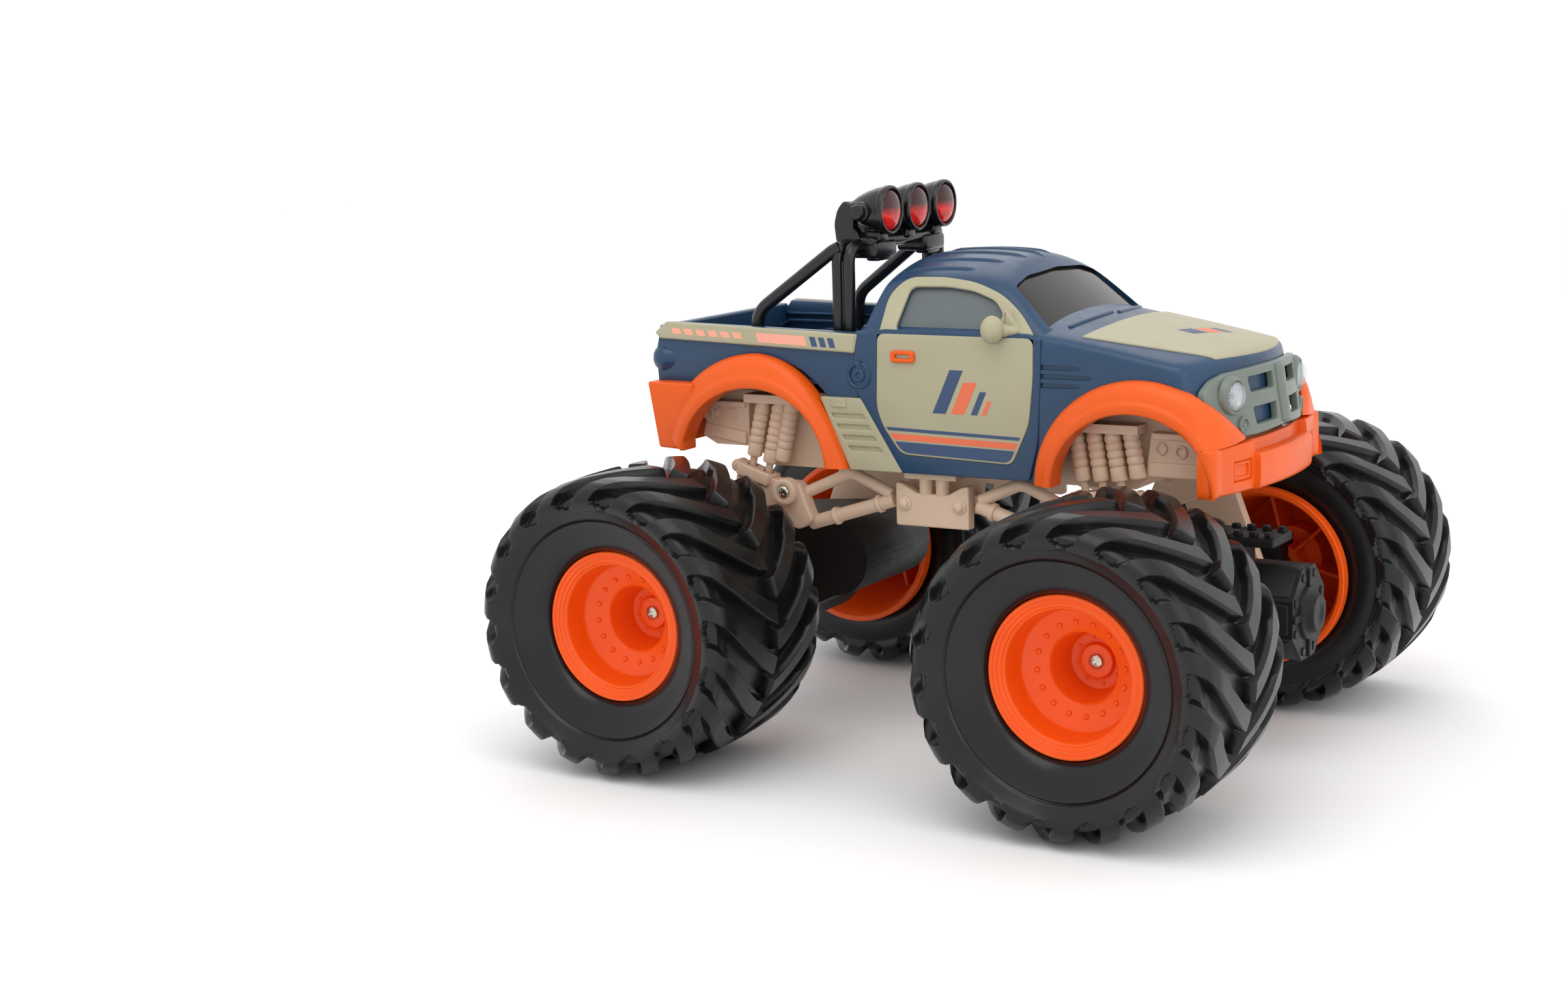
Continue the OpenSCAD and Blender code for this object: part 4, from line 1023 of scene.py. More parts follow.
def cargo_bed():
    blue = Parts()
    side = ([(-109.4, 127.6)] + arc(*REAR_ARCH, 36.5, 38, 134, 3, 24)
            + [(-25.6, 102), (-25.6, 147.2), (-103.5, 148.4), (-108.6, 143.8), (-110, 138)])
    blue.panel([side], 42.6, 44.7, 0.5)
    blue.panel([[(-108.2, 143.2), (-103.8, 148.9), (-25.8, 147.3), (-25.8, 143.2)]], 40.4, 45.1,
        0.9, 3)
    # wheel boxes beside the floor, with their slots, and a ledge ahead of them
    box_top = rounded([(-94, 130), (-90, 138.4), (-44, 138.4), (-41, 136.6), (-29, 136.6),
        (-29, 130)], 1.2)
    blue.panel([box_top], 31.2, 41.5, 0.6)
    for x0 in (-84, -66):
        slot = rounded([(x0, 138), (x0, 139.3), (x0 + 14, 139.3), (x0 + 14, 138)], 0.4)
        for y in (33.4, 38.4):
            blue.panel([slot], y, y + 1.0, 0.2)
    for z in (140.6, 143.4):
        blue.panel([rounded(rect(-105, z, -28, z + 1.1), 0.4)], 39.9, 41.2, 0.4)
    # tail lamp bulge
    blue.lathe([(5.3, -3), (5.3, 0.4), (5.0, 2.1), (4.2, 3.6), (2.9, 4.7), (1.4, 5.3), (0, 5.4)],
        40, at=turned((-0.86, 0.5, 0.06), (-106.9, 41.6, 135.6)))
    blue.mirrored()
    for y in np.arange(-25, 26, 10):
        blue.block((-104, y - 1.6, 129.6), (-44, y + 1.6, 130.9))
    blue.block((-106.5, -42.5, 128.5), (-26, 42.5, 130.2))
    blue.block((-28.2, -42.5, 129), (-26, 42.5, 147.4))
    for z in (134.5, 140.6, 143.4):
        blue.soft_box((-29.2, -40, z), (-27.6, 40, z + 1.3), 0.4)
    # tailgate with its recessed panel and latch
    gate = rect(-42.6, 127.8, 42.6, 147.6)
    blue.shape(along_x(panel([rounded(gate, 1)], -109.6, -106.2, 0.7)))
    rim = rounded(rect(-36, 131, 36, 144.6), 1.5)
    inner = rounded(rect(-34.4, 132.6, 34.4, 143), 1)
    blue.shape(along_x(panel([rim, inner], -110.5, -109.2, 0.35)))
    blue.shape(along_x(panel([rounded(rect(-7, 138.6, 7, 142), 1.2),
        rounded(rect(-5, 139.3, 5, 140.7), 0.6)], -110.9, -109.2, 0.3)))
    blue.make("cargo_bed", "blue_shell")

    rail = [(-104.2, 149.3), (-25.0, 147.0), (-26.4, 140.4), (-107.0, 143.1), (-109.3, 145.2)]
    cream = Parts()
    cream.panel([rounded(rail, 0.7)], 44.4, 46.4, 0.7, 3)
    cream.mirrored()
    cream.make("rail_covers", "cream_plastic", replaces=["bed_rails"])

    def on_rail(x, width, low=1.3, high=4.7):
        """Slanted bar between two heights above the rail's lower edge."""
        def z(at, up):
            return 143.1 - 0.0335 * (at + 107) + up
        return [(x + 1, z(x, low)), (x + 1 + width, z(x + width, low)),
                (x + width, z(x + width, high)), (x, z(x, high))]

    salmon = [on_rail(-66, 20)] + [on_rail(-102 + 5.2 * i, 3.6, 2.0, 4.2) for i in range(6)]
    navy = [on_rail(-44.0 + 3.6 * i, 2.3) for i in range(3)]
    for key, shapes in (("salmon", salmon), ("navy", navy)):
        flat_stripes(shapes, 46.3, 46.48).make("rail_stripes_" + key, "stripe_" + key,
            slot=STRIPE_SLOT[key])

    vent = Parts()
    plate = rounded([(-40.4, 124.8), (-24.2, 124.8), (-8.2, 99.6), (-28.7, 99.6)], 0.8)
    holes = []
    for i in range(4):
        x, z = -36.0 + 2.15 * i, 118.4 - 3.75 * i
        holes.append(rounded([(x, z + 0.75), (x + 12.8, z + 0.75), (x + 13.8, z - 0.75),
            (x + 1.0, z - 0.75)], 0.45, 3))
    vent.panel([plate] + holes, 44.6, 46.3, 0.35, 3)
    vent.panel([plate], 43.6, 45.5, 0.3)
    vent.panel([rounded([(-35.5, 121.4), (-29.5, 121.4), (-29.8, 124.6), (-35.8, 124.6)], 0.4)],
        46.0, 46.8, 0.25)
    vent.mirrored()
    vent.make("vent_covers", "cream_plastic", replaces=["vent_panels"])


# ---- nose ----------------------------------------------------------------------------

def grille_x(y, z):
    return 111.2 - NOSE_RAKE * (z - 128) - NOSE_CAMBER * y * y


LAMP_Y, LAMP_Z = 29.6, 129.2


def lamp_axis(side):
    return turned((0.985, 0.17 * side, 0),
                  (grille_x(LAMP_Y, LAMP_Z) - 1.0, side * LAMP_Y, LAMP_Z))


def nose():
    half = [(0, 137.6), (12, 137.5), (22, 137.1), (31, 136.6), (37, 134.8), (41.0, 131.4),
        (41.6, 128.4), (39.4, 123.6), (35, 119.4), (29.4, 115.9), (20, 115.9), (9, 116.6)]
    outline = half + [(0, 117.0)] + [(-y, z) for y, z in reversed(half[1:])]
    holes = []
    for s in (LEFT, RIGHT):
        holes.append(rounded([(s * 5.2, 134.9), (s * 21.4, 134.5), (s * 20.6, 129.5),
            (s * 5.4, 129.8)], 0.9, 3))
        holes.append(rounded([(s * 5.6, 124.9), (s * 20.6, 124.6), (s * 19.8, 118.9),
            (s * 5.8, 119.4)], 0.9, 3))
        holes.append(arc(s * LAMP_Y, LAMP_Z, 5.2, 5.2, 0, 345, 23))
    shape = panel([rounded(outline, 1.2, 3)] + holes, -1.4, 1.4, 0.55, 3)
    # the slab gets enough points across it to follow the nose's camber
    for y in range(-39, 40, 3):
        shape = sliced(shape, (y, 0, 0), (1, 0, 0), clear=False)
    parts = Parts()
    parts.shape(([(grille_x(x, z) - 1.4 + y, x, z) for x, y, z in shape[0]], shape[1]))
    for s in (LEFT, RIGHT):
        ahead = lamp_axis(s)
        parts.lathe([(6.9, -0.5), (6.8, 0.8), (6.3, 1.7), (5.8, 2.3), (5.3, 2.4), (5.0, 2.1),
            (4.95, -3.0), (5.2, -3.2)], 56, at=ahead)
        low = turned((0.98, 0.2 * s, 0), (grille_x(26.6, 119.3) - 0.6, s * 26.8, 119.6))
        parts.lathe([(2.9, -0.4), (2.8, 0.9), (2.5, 1.2), (2.1, 1.2), (1.9, 0.8), (1.7, 0.4),
            (0.9, 0.5), (0.6, 0.9), (0, 1.0)], 36, at=low)
    # raised middle bar
    line = [(grille_x(0, z) + 0.05, 0, z) for z in np.linspace(117.6, 137.0, 8)]
    parts.tube(line, 1.6, 16, 0.6, at=Matrix.Diagonal((1, 2.0, 1, 1)))
    parts.make("grille_surround", "sage_plastic", replaces=["grille"], smooth=34)

    lens, cup, bulb = Parts(), Parts(), Parts()
    for s in (LEFT, RIGHT):
        ahead = lamp_axis(s)
        lens.lathe([(4.9, 0.6), (4.9, 1.8), (4.4, 2.9), (3.2, 3.9), (1.6, 4.5), (0, 4.7), (0, 3.6),
            (3.0, 3.0), (4.2, 2.0), (4.3, 0.6)], 48, closed=True, at=ahead)
        cup.lathe([(4.9, 1.4), (4.4, 0.2), (3.2, -1.6), (1.6, -2.6), (0, -2.9)], 48, at=ahead)
        for i in range(10):
            cup.block((1.2, -0.22, -2.4), (4.4, 0.22, 0.6),
                at=ahead @ Matrix.Rotation(radians(36 * i), 4, "Z"))
        bulb.lathe([(1.3, -2.8), (1.3, 0.2), (1.0, 1.0), (0.5, 1.4), (0, 1.5)], 24, at=ahead)
    lens.make("headlight_glass", "clear_lens", replaces=["headlight_lenses"], smooth=60)
    cup.make("headlight_cups", "mirror_cup", smooth=50, slot="nickel_screw")
    bulb.make("headlight_bulbs", "gloss_black", slot="black_plastic")


# ---- arches and bumpers ------------------------------------------------------------------

def loops(columns):
    """Solid through columns that are closed loops."""
    return grid(columns, closed_u=True, cap=True)


def flare(outer, inner):
    """Columns of a wheel arch trim: outer and inner are matching lists of (x, z) along the
    arch. The skin runs from the body over a rounded shoulder and a face to an inner lip."""
    columns = []
    for (ox, oz), (ix, iz) in zip(outer, inner):
        def at(t, y):
            return (ox + (ix - ox) * t, y, oz + (iz - oz) * t)
        columns.append([at(0.0, 43.8), at(0.0, 46.0), at(0.02, 47.0), at(0.07, 48.0),
            at(0.15, 48.9), at(0.26, 49.6), at(0.40, 50.2), at(0.55, 50.8), at(0.62, 51.05),
            at(0.66, 51.5), at(0.72, 51.75), at(0.90, 51.9), at(0.97, 51.75), at(1.0, 51.3),
            at(1.0, 50.6), at(1.0, 47.0), at(0.98, 43.0), at(0.80, 42.2), at(0.3, 42.2),
            at(0.0, 43.0)])
    return columns


def front_fenders():
    steps = 40
    outer = arc(*FRONT_ARCH, 37.3, 36.2, 180, 58, steps)
    inner = arc(78.3, 99, 28, 25.6, 180, 58, steps)
    parts = Parts()
    # the flare's front part opens out into the nose corner, down to the bumper's seam
    corner_steps = 18
    columns = flare(outer, inner)
    start = columns[-1]
    end = [(108.9, 27, 115.6), (109.6, 29.6, 115.4), (109.4, 32, 115.1), (108.9, 36.2, 114.6),
        (108.2, 40.2, 114.4), (107.5, 43.6, 114.3), (106.7, 46.2, 114.25), (105.7, 48.4, 114.2),
        (105.2, 49.1, 114.2), (104.8, 49.9, 114.15), (104.0, 50.6, 114.1), (102.2, 51.4, 114.0),
        (101.4, 51.5, 114.0), (100.95, 51.2, 114.0), (100.9, 50.4, 114.0), (100.9, 47, 114.0),
        (101.0, 43, 114.0), (102.5, 41.0, 113.9), (105.5, 34, 113.9), (107.2, 27, 113.9)]
    via = [(104.6, 37.0, 124.2), (105.4, 39.6, 124.4), (105.4, 42.0, 123.9), (104.9, 44.4, 123.1),
        (104.2, 46.6, 122.2), (103.2, 48.3, 121.4), (101.9, 49.6, 120.6), (100.6, 50.6, 120.4),
        (100.0, 51.0, 120.1), (99.6, 51.4, 119.8), (99.0, 51.65, 119.3), (98.3, 51.9, 118.6),
        (97.8, 51.8, 118.1), (97.45, 51.3, 117.75), (97.4, 50.6, 117.7), (97.4, 47, 117.7),
        (97.6, 43, 117.9), (99, 41.5, 119), (101, 38.5, 121.5), (103.6, 36.4, 123.0)]
    # the columns follow a quadratic from the flare through via to the seam
    for k in range(1, corner_steps + 1):
        t = k / corner_steps
        column = []
        for p, q, r in zip(start, via, end):
            p, q, r = Vector(p), Vector(q), Vector(r)
            control = 2 * q - 0.5 * (p + r)
            column.append(tuple(bend(p, control, r, t)))
        columns.append(column)
    parts.shape(loops(columns))
    for side, name in SIDES:
        parts.corner(FRONT, side).make("front_flare_" + name, "orange_plastic",
            replaces=["front_fender_" + name], smooth=38)


BUMPER_CAMBER = 0.0031
BUMPER_TOP, BUMPER_FOOT = 114.3, 98.3


def bumper_path():
    """Plan path of the front bumper's face from the middle to the left end."""
    path = [(113.9 - BUMPER_CAMBER * y * y, y) for y in np.linspace(0, 24.6, 14)]
    path += [(113.0 - BUMPER_CAMBER * y * y, y) for y in (
        24.9, 26.6, 26.9, 29, 31, 33, 35, 37.2, 37.5, 39, 41, 42.8, 44.2)]
    cx, cy, r = 103.6, 45.9, 3.6
    start = degrees(atan2(path[-1][1] - cy, path[-1][0] - cx))
    path += [(cx + r * 1.02 * cos(radians(a)), cy + 1.6 + r * sin(radians(a)))
             for a in np.linspace(start + 14, 96, 10)]
    path += [(101.6, 51.2)]
    return path


def front_bumper():
    plan = bumper_path()
    columns = []
    # the middle has a shelf along its top, the ends rise to the seam
    middle = [(-5.0, BUMPER_TOP), (-4.1, BUMPER_TOP), (-3.8, 114.0), (-3.7, 110.8), (-3.4, 110.45),
        (0.1, 110.25), (0.75, 109.9), (1.1, 109.1), (1.15, 108.7), (1.2, 102.3), (1.15, 101.9),
        (1.1, 100.4), (0.85, 99.3), (0.3, 98.6), (-0.6, BUMPER_FOOT), (-5, BUMPER_FOOT)]
    ends = [(-5.0, BUMPER_TOP), (-1.0, BUMPER_TOP), (-0.45, 114.15), (-0.1, 113.7), (0.05, 113.0),
        (0.15, 110.4), (0.2, 109.6), (0.2, 109.1), (0.2, 108.8), (0.2, 102.3), (0.2, 102.0),
        (0.15, 100.4), (0.0, 99.3), (-0.4, 98.6), (-1.0, BUMPER_FOOT), (-5, BUMPER_FOOT)]
    for i, (x, y) in enumerate(plan):
        a, b = plan[max(i - 1, 0)], plan[min(i + 1, len(plan) - 1)]
        tangent = Vector((b[0] - a[0], b[1] - a[1])).normalized()
        if y < 45:
            tangent = Vector((-2 * BUMPER_CAMBER * y, 1)).normalized()
        out = Vector((tangent.y, -tangent.x))
        column = []
        for d, z in (middle if y < 24.8 else ends):
            sunk = 0.9 if (26.7 < y < 37.4 and 102.1 < z < 109.0) else 0.0
            column.append((x + out.x * (d - sunk), y + out.y * (d - sunk), z))
        columns.append(column)
    shape = grid(columns)
    parts = Parts()
    parts.shape(shape)
    # side face between the arch's front leg and the corner
    leg = arc(78.3, 99, 28, 25.6, 36, 0, 12)
    rows = []
    for t in np.linspace(0, 1, 13):
        z = BUMPER_TOP + (BUMPER_FOOT - BUMPER_TOP) * t
        i = int(round(t * 12))
        x = leg[i][0]
        bulge = 0.75 if 1 < i < 12 else 0.3
        rows.append([(x, 43, z), (x, 50.6, z), (x + 0.3, 51.3 + bulge * 0.2, z),
            (x + 1.2, 51.5, z), (max(x + 1.4, 102.0), 51.4, z)])
    parts.shape(grid(rows))
    parts.mirrored()
    parts.make("bumper_bar", "orange_plastic", replaces=["front_bumper"], smooth=40)

    inset = Parts()
    # raised frames round the bumper's end recesses
    ends = rect(27.4, 102.6, 36.8, 108.4)
    hole = rect(28.4, 103.6, 35.8, 107.4)
    shape = panel([rounded(ends, 0.6), rounded(hole, 0.4)], -0.5, 0.5, 0.25)
    inset.shape(([(112.5 - BUMPER_CAMBER * x * x + y, x, z) for x, y, z in shape[0]], shape[1]))
    inset.mirrored()
    inset.make("bumper_recess_frames", "orange_plastic")


def rear_fenders():
    steps = 56
    # the trim's outer edge leaves the arch for a straight line along the vent cover
    on_arch = 27
    outer = arc(*REAR_ARCH, 39.9, 38.9, 166, 90, on_arch)
    start, control, end = (np.array(p) for p in (outer[-1], (-42, 137.5), (-29.4, 99.9)))
    for t in np.linspace(0, 1, steps - on_arch + 1)[1:]:
        outer.append(tuple(bend(start, control, end, t)))
    inner = arc(*REAR_ARCH, 29.8, 27, 173, 1, steps)
    form = Parts()
    form.shape(loops(flare(outer, inner)))
    corner = rounded([(-110.6, 127.7), (-90.6, 127.7), (-91.5, 121), (-95.6, 112), (-95.2, 103.3),
        (-106.4, 103.8)], 1.0)
    form.panel([corner], 42.2, 50.4, 0.9, 3)
    lip = rounded([(-97.4, 110), (-94.9, 110), (-94.9, 103.2), (-97.0, 103.2)], 0.5)
    form.panel([lip], 43, 51.6, 0.6, 3)
    for side, name in SIDES:
        form.corner(FRONT, side).make("rear_flare_" + name, "orange_plastic",
            replaces=["rear_fender_" + name], smooth=38)
    bar = Parts()
    bar.panel([rounded([(-103.6, 104), (-106.5, 104), (-110.8, 127.6), (-107.4, 127.6)], 0.8)],
        -43.5, 43.5, 0.6)
    for y in (-26, 26):
        bar.panel([[(-107.0, 108), (-108.4, 116.5), (-109.6, 116.5), (-108.2, 108)]], y - 9, y + 9,
            0.3)
    bar.make("rear_bumper_bar", "orange_plastic", replaces=["rear_bumper"])


body_shell()
door_band()
doors()
mirrors()
glazing()
hood()
cargo_bed()
nose()
front_fenders()
front_bumper()
rear_fenders()


# ---- roll bar and lamps --------------------------------------------------------------

BED_FLOOR = 129.9
BRACE_X = -71
HOOP_X = (-39.2, -34.6)
HOOP_Y = 33.5
HOOP_TOP = 176.2
POD_Y = (-20.4, 0.0, 20.4)
POD_Z = 188.2
POD_X = -24.0


def roll_bar():
    parts = Parts()
    for x in HOOP_X:
        line = [(x, -HOOP_Y, BED_FLOOR), (x, -HOOP_Y, HOOP_TOP), (x, HOOP_Y, HOOP_TOP),
            (x, HOOP_Y, BED_FLOOR)]
        parts.tube(filleted(line, 6.5, 8), 2.1, 24, 0.2)
    for s in (LEFT, RIGHT):
        brace = [(BRACE_X, s * 36.5, BED_FLOOR), (BRACE_X, s * 36.5, 152.6),
            (-41.0, s * HOOP_Y, 174.6), (-38.5, s * (HOOP_Y - 0.6), 175.8)]
        parts.tube(filleted(brace, 5, 7), 2.35, 24, 0.3)
        # sockets on the bed floor
        for x, y, r in ((HOOP_X[0], HOOP_Y, 2.1), (HOOP_X[1], HOOP_Y, 2.1), (BRACE_X, 36.5, 2.35)):
            parts.lathe([(r + 0.9, 0), (r + 0.9, 1.6), (r + 0.6, 2.0), (r, 2.1)], 28,
                at=Matrix.Translation((x, s * y, 130.4)))
        # strap between the two hoops at their corner
        parts.soft_box((-38.6, s * HOOP_Y - 0.7, 134), (-35.2, s * HOOP_Y + 0.7, 171), 0.3)
        # boxes hanging under the top bar
        low, high = sorted((s * 10.5, s * 26))
        parts.soft_box((-40, low, 171.4), (-27.6, high, 177.4), 1.5)
        parts.soft_box((-33.6, low + 2.5, 170.3), (-28.4, high - 2.5, 173), 1.0)
    parts.soft_box((-39.5, -26.5, 175.6), (-28.6, 26.5, 179.0), 1.2)
    # yokes that rise from the bar and hold the pods from behind
    yoke = rounded([(-43.6, 176.8), (-44.4, 183.6), (-43.0, 188.6), (-40.4, 191.6), (-37.8, 191.0),
        (-35.6, 188.4), (-36.0, 185.6), (-36.8, 182.8), (-34.6, 180.6), (-34.0, 176.8)], 1.6)
    for y in (-24.8, -10.2, 10.2, 24.8):
        parts.panel([yoke], y - 2.2, y + 2.2, 0.9, 3)
    for y in POD_Y:
        arm = [(-37.5, y, 176.4), (-42.3, y, 178.4), (-43.0, y, 184.6), (-40.6, y, 189.4),
            (-36, y, 190.2)]
        parts.tube(filleted(arm, 4, 6), 1.9, 18)
        parts.soft_box((-35.5, y - 3.2, 177), (-27.4, y + 3.2, 180.9), 1.1)
        parts.soft_box((-33.4, y - 2.2, 179), (-29.0, y + 2.2, 181.8), 0.8)
    parts.make("roll_bar_tubes", "gloss_black", replaces=["roll_bar"], smooth=38,
        slot="black_plastic")


def lamps():
    pods, lenses = Parts(), Parts()
    for y in POD_Y:
        ahead = turned((1, 0, 0), (POD_X, y, POD_Z))
        pods.lathe([(7.25, -1.7), (7.3, -0.5), (7.6, -0.05), (8.1, 0.0), (8.45, -0.25),
            (8.6, -0.8), (8.6, -2.1), (8.4, -2.5), (8.1, -2.7), (8.05, -3.2), (8.0, -4.2),
            (7.65, -5.8), (7.15, -7.5), (6.5, -9.3), (5.75, -11.1), (4.85, -12.9), (3.8, -14.5),
            (2.6, -15.8), (1.3, -16.6), (0.0, -16.9)], 72, at=ahead)
        pods.lathe([(7.3, -1.6), (6.0, -3.2), (0, -3.4)], 48, at=ahead)
        for s in (LEFT, RIGHT):
            side = turned((0, s, 0), (POD_X - 8.6, y, POD_Z - 0.3))
            if y != 0 and s * y > 0:
                knob = [(3.5, 5.2), (3.5, 7.9), (3.3, 8.4), (2.9, 8.6), (2.7, 8.8), (2.7, 10.6),
                    (2.3, 11.1), (1.0, 11.3), (0, 11.2)]
            else:
                knob = [(2.8, 5.2), (2.8, 7.6), (2.5, 8.1), (0.9, 8.3), (0, 8.2)]
            pods.lathe(knob, 32, at=side)
        lenses.lathe([(7.3, -1.9), (7.25, -1.1), (6.7, -0.35), (5.6, 0.25), (4.2, 0.65),
            (2.8, 0.9), (1.4, 1.0), (0, 1.05)], 64, at=ahead)
    pods.make("lamp_pod_shells", "gloss_black", replaces=["lamp_pods"], smooth=40,
        slot="black_plastic")
    lenses.make("lamp_domes", "red_lens", replaces=["lamp_lenses"], smooth=60)


# ---- suspension ------------------------------------------------------------------------

HUB_X, HUB_Z = 84, 52.5         # wheel centres as designed, for shapes drawn round them
REAR_LEAN, FRONT_LEAN = 13, 10  # degrees
REAR_RODS = [(74, 97.6), (67.4, 95.4)]
FRONT_RODS = [(57, 96.2), (63.5, 96.6), (70, 97)]
SHOCK_Y = 38


def shock_axis(end, side, p, lean):
    """Stands a shape lathed round +Z on a shock absorber's axis."""
    a = radians(lean)
    return turned((-end * sin(a), 0, cos(a)), (end * p[0], side * SHOCK_Y, p[1]))


def ribbed(bottom, top, bore=1.8):
    """Profile of a ribbed shock body with a smooth collar at its foot."""
    out = [(bore, bottom), (2.3, bottom), (2.65, bottom + 0.3), (2.75, bottom + 0.8),
        (2.75, bottom + 4.4), (2.6, bottom + 4.8), (2.3, bottom + 4.95)]
    t = bottom + 5.0
    while t + 2.7 <= top:
        for k in range(1, 10):
            out.append((2.42 + 0.45 * sin(pi * k / 10) ** 0.7, t + 0.27 * k))
        t += 2.7
        out.append((2.42, t))
    return out + [(2.3, top), (bore, top), (bore, bottom)]


def shocks():
    parts = Parts()
    for side in (LEFT, RIGHT):
        for end, rods, lean, tower, short in (
                (REAR, REAR_RODS, REAR_LEAN, 121.5, (61.5, 99.5)),
                (FRONT, FRONT_RODS, FRONT_LEAN, 117.5, (76, 101.5))):
            for p in rods:
                top = (tower - p[1]) / cos(radians(lean))
                parts.lathe(ribbed(3.4, top), 32, at=shock_axis(end, side, p, lean))
            top = (tower - short[1]) / cos(radians(lean))
            at = shock_axis(end, side, short, lean)
            parts.lathe(ribbed(0, top, 0.3), 32, at=at)
    parts.make("shock_sleeves", "beige_plastic", replaces=["shock_bodies"], smooth=50)


def link_shapes(rods, tray_at, tray_slope, tray_len):
    """Suspension link and axle plate at the front left."""
    parts = Parts()
    low, eye = Vector((49, 37, 78)), Vector((16.2, 37, 88.3))
    run = eye - low
    parts.tube([low - run * 0.05, eye], 2.5, 28, 0.5)
    along = turned(run, low)
    for t in (0.28, 0.82):
        c = t * run.length
        parts.lathe([(2.4, c - 1.0), (2.95, c - 0.9), (3.2, c - 0.55), (3.2, c + 0.55),
            (2.95, c + 0.9), (2.4, c + 1.0)], 32, at=along)
    upper = [(57, 37, 86.4), (33.2, 37, 97.0), (17.2, 37, 90.2)]
    parts.tube(filleted(upper, 3, 6), 2.15, 24, 0.4)
    eye_line = (arc(10.7, 88, 3.6, 3.6, 85, 275, 16) + arc(17.5, 88.6, 2.6, 2.6, -90, 90, 10))
    parts.panel([eye_line, arc(10.7, 88, 2.06, 2.06, 0, 345, 23)], 31.2, 35.2, 0.35)
    plate = [(53.2, 75.5), (47.2, 79.3), (49.2, HUB_X), (52.6, 92.6), (60, 93.0), (75, 94.9),
        (79, 94.8), (79, 91), (73, 84.6), (62, 80)]
    parts.panel([rounded(plate, 1.8)], 36, 42, 0.7, 3)
    leg = [(60, 92), (78.4, 92.6), (92, 56), (91, 49), (HUB_X, 43), (77, 49), (62, 79)]
    parts.panel([rounded(leg, 3), arc(HUB_X, HUB_Z, 7.04, 7.04, 0, 345, 23)], 36.6, 41.4, 0.5)
    parts.lathe([(10, -2.6), (10, 2.2), (9.6, 2.6), (7.1, 2.6), (7.05, 2.0), (7.05, -2.6)], 48,
        closed=True, at=turned((0, 1, 0), (HUB_X, 39.4, HUB_Z)))
    # screw boss with its sunk seat
    parts.lathe([(4.7, -1), (4.7, 2.9), (4.6, 3.3), (4.3, 3.5), (3.0, 3.5), (2.7, 3.35),
        (2.6, 2.9), (1.1, 2.8), (1.1, -1)], 44, closed=True,
        at=turned((0, 1, 0), (57.1, 42, 89.6)))
    # tray with the sockets of the shock rods
    a = radians(tray_slope)
    frame_of = Matrix(((cos(a), -sin(a), 0, tray_at[0]), (0, 0, 1, SHOCK_Y + 1),
        (sin(a), cos(a), 0, tray_at[1]), (0, 0, 0, 1)))
    inverse = frame_of.inverted()
    half = tray_len / 2
    lines = [rounded(rect(-half, -4, half, 4), 0.9)]
    for p in rods:
        c = inverse @ Vector((p[0], SHOCK_Y, p[1]))
        lines.append(arc(c.x, c.z, 1.95, 1.95, 0, 345, 23))
    parts.panel(lines, -1.7, 1.7, 0.4, 3, at=frame_of)
    parts.soft_box((-half + 0.5, -2.2, 3.4), (half - 0.5, 2.2, 4.6), 0.5, at=frame_of)
    parts.soft_box((-half + 0.8, -3.4, -3.4), (half - 0.8, -1.4, 3.0), 0.5, at=frame_of)
    end = frame_of @ Vector((half + 1.6, -0.6, 0))
    parts.lathe([(0, -4.0), (1.9, -3.9), (2.3, -3.4), (2.3, 1.2), (2.0, 1.9), (1.2, 2.3),
        (0, 2.4)], 32, at=turned((0, 1, 0), (end.x, 38.6, end.z)))
    return parts


def links():
    for end, name, rods, tray, slope, length in (
            (REAR, "rear", REAR_RODS, (71.1, 94.9), 17.8, 14.4),
            (FRONT, "front", FRONT_RODS, (63.6, 94.95), 3.5, 20.8)):
        form = link_shapes(rods, tray, slope, length)
        for side, word in SIDES:
            form.corner(end, side).make("link_%s_%s" % (name, word), "beige_plastic",
                body=name + "_axle", replaces=["%s_link_%s" % (name, word)], smooth=38)
        screws = Parts()
        for side in (LEFT, RIGHT):
            at = turned((0, side, 0), (end * 57.1, side * 45.0, 89.6))
            screws.shape(cross_head(2.15, 1.25, 1.35, 0.3, 0.75),
                at=at @ Matrix.Rotation(0.7, 4, "Z"))
            screws.lathe([(1.05, -2.4), (1.05, 0)], 20, at=at)
        screws.make("link_screw_heads_" + name, "nickel_screw", body=name + "_axle",
            replaces=[name + "_link_screws"])


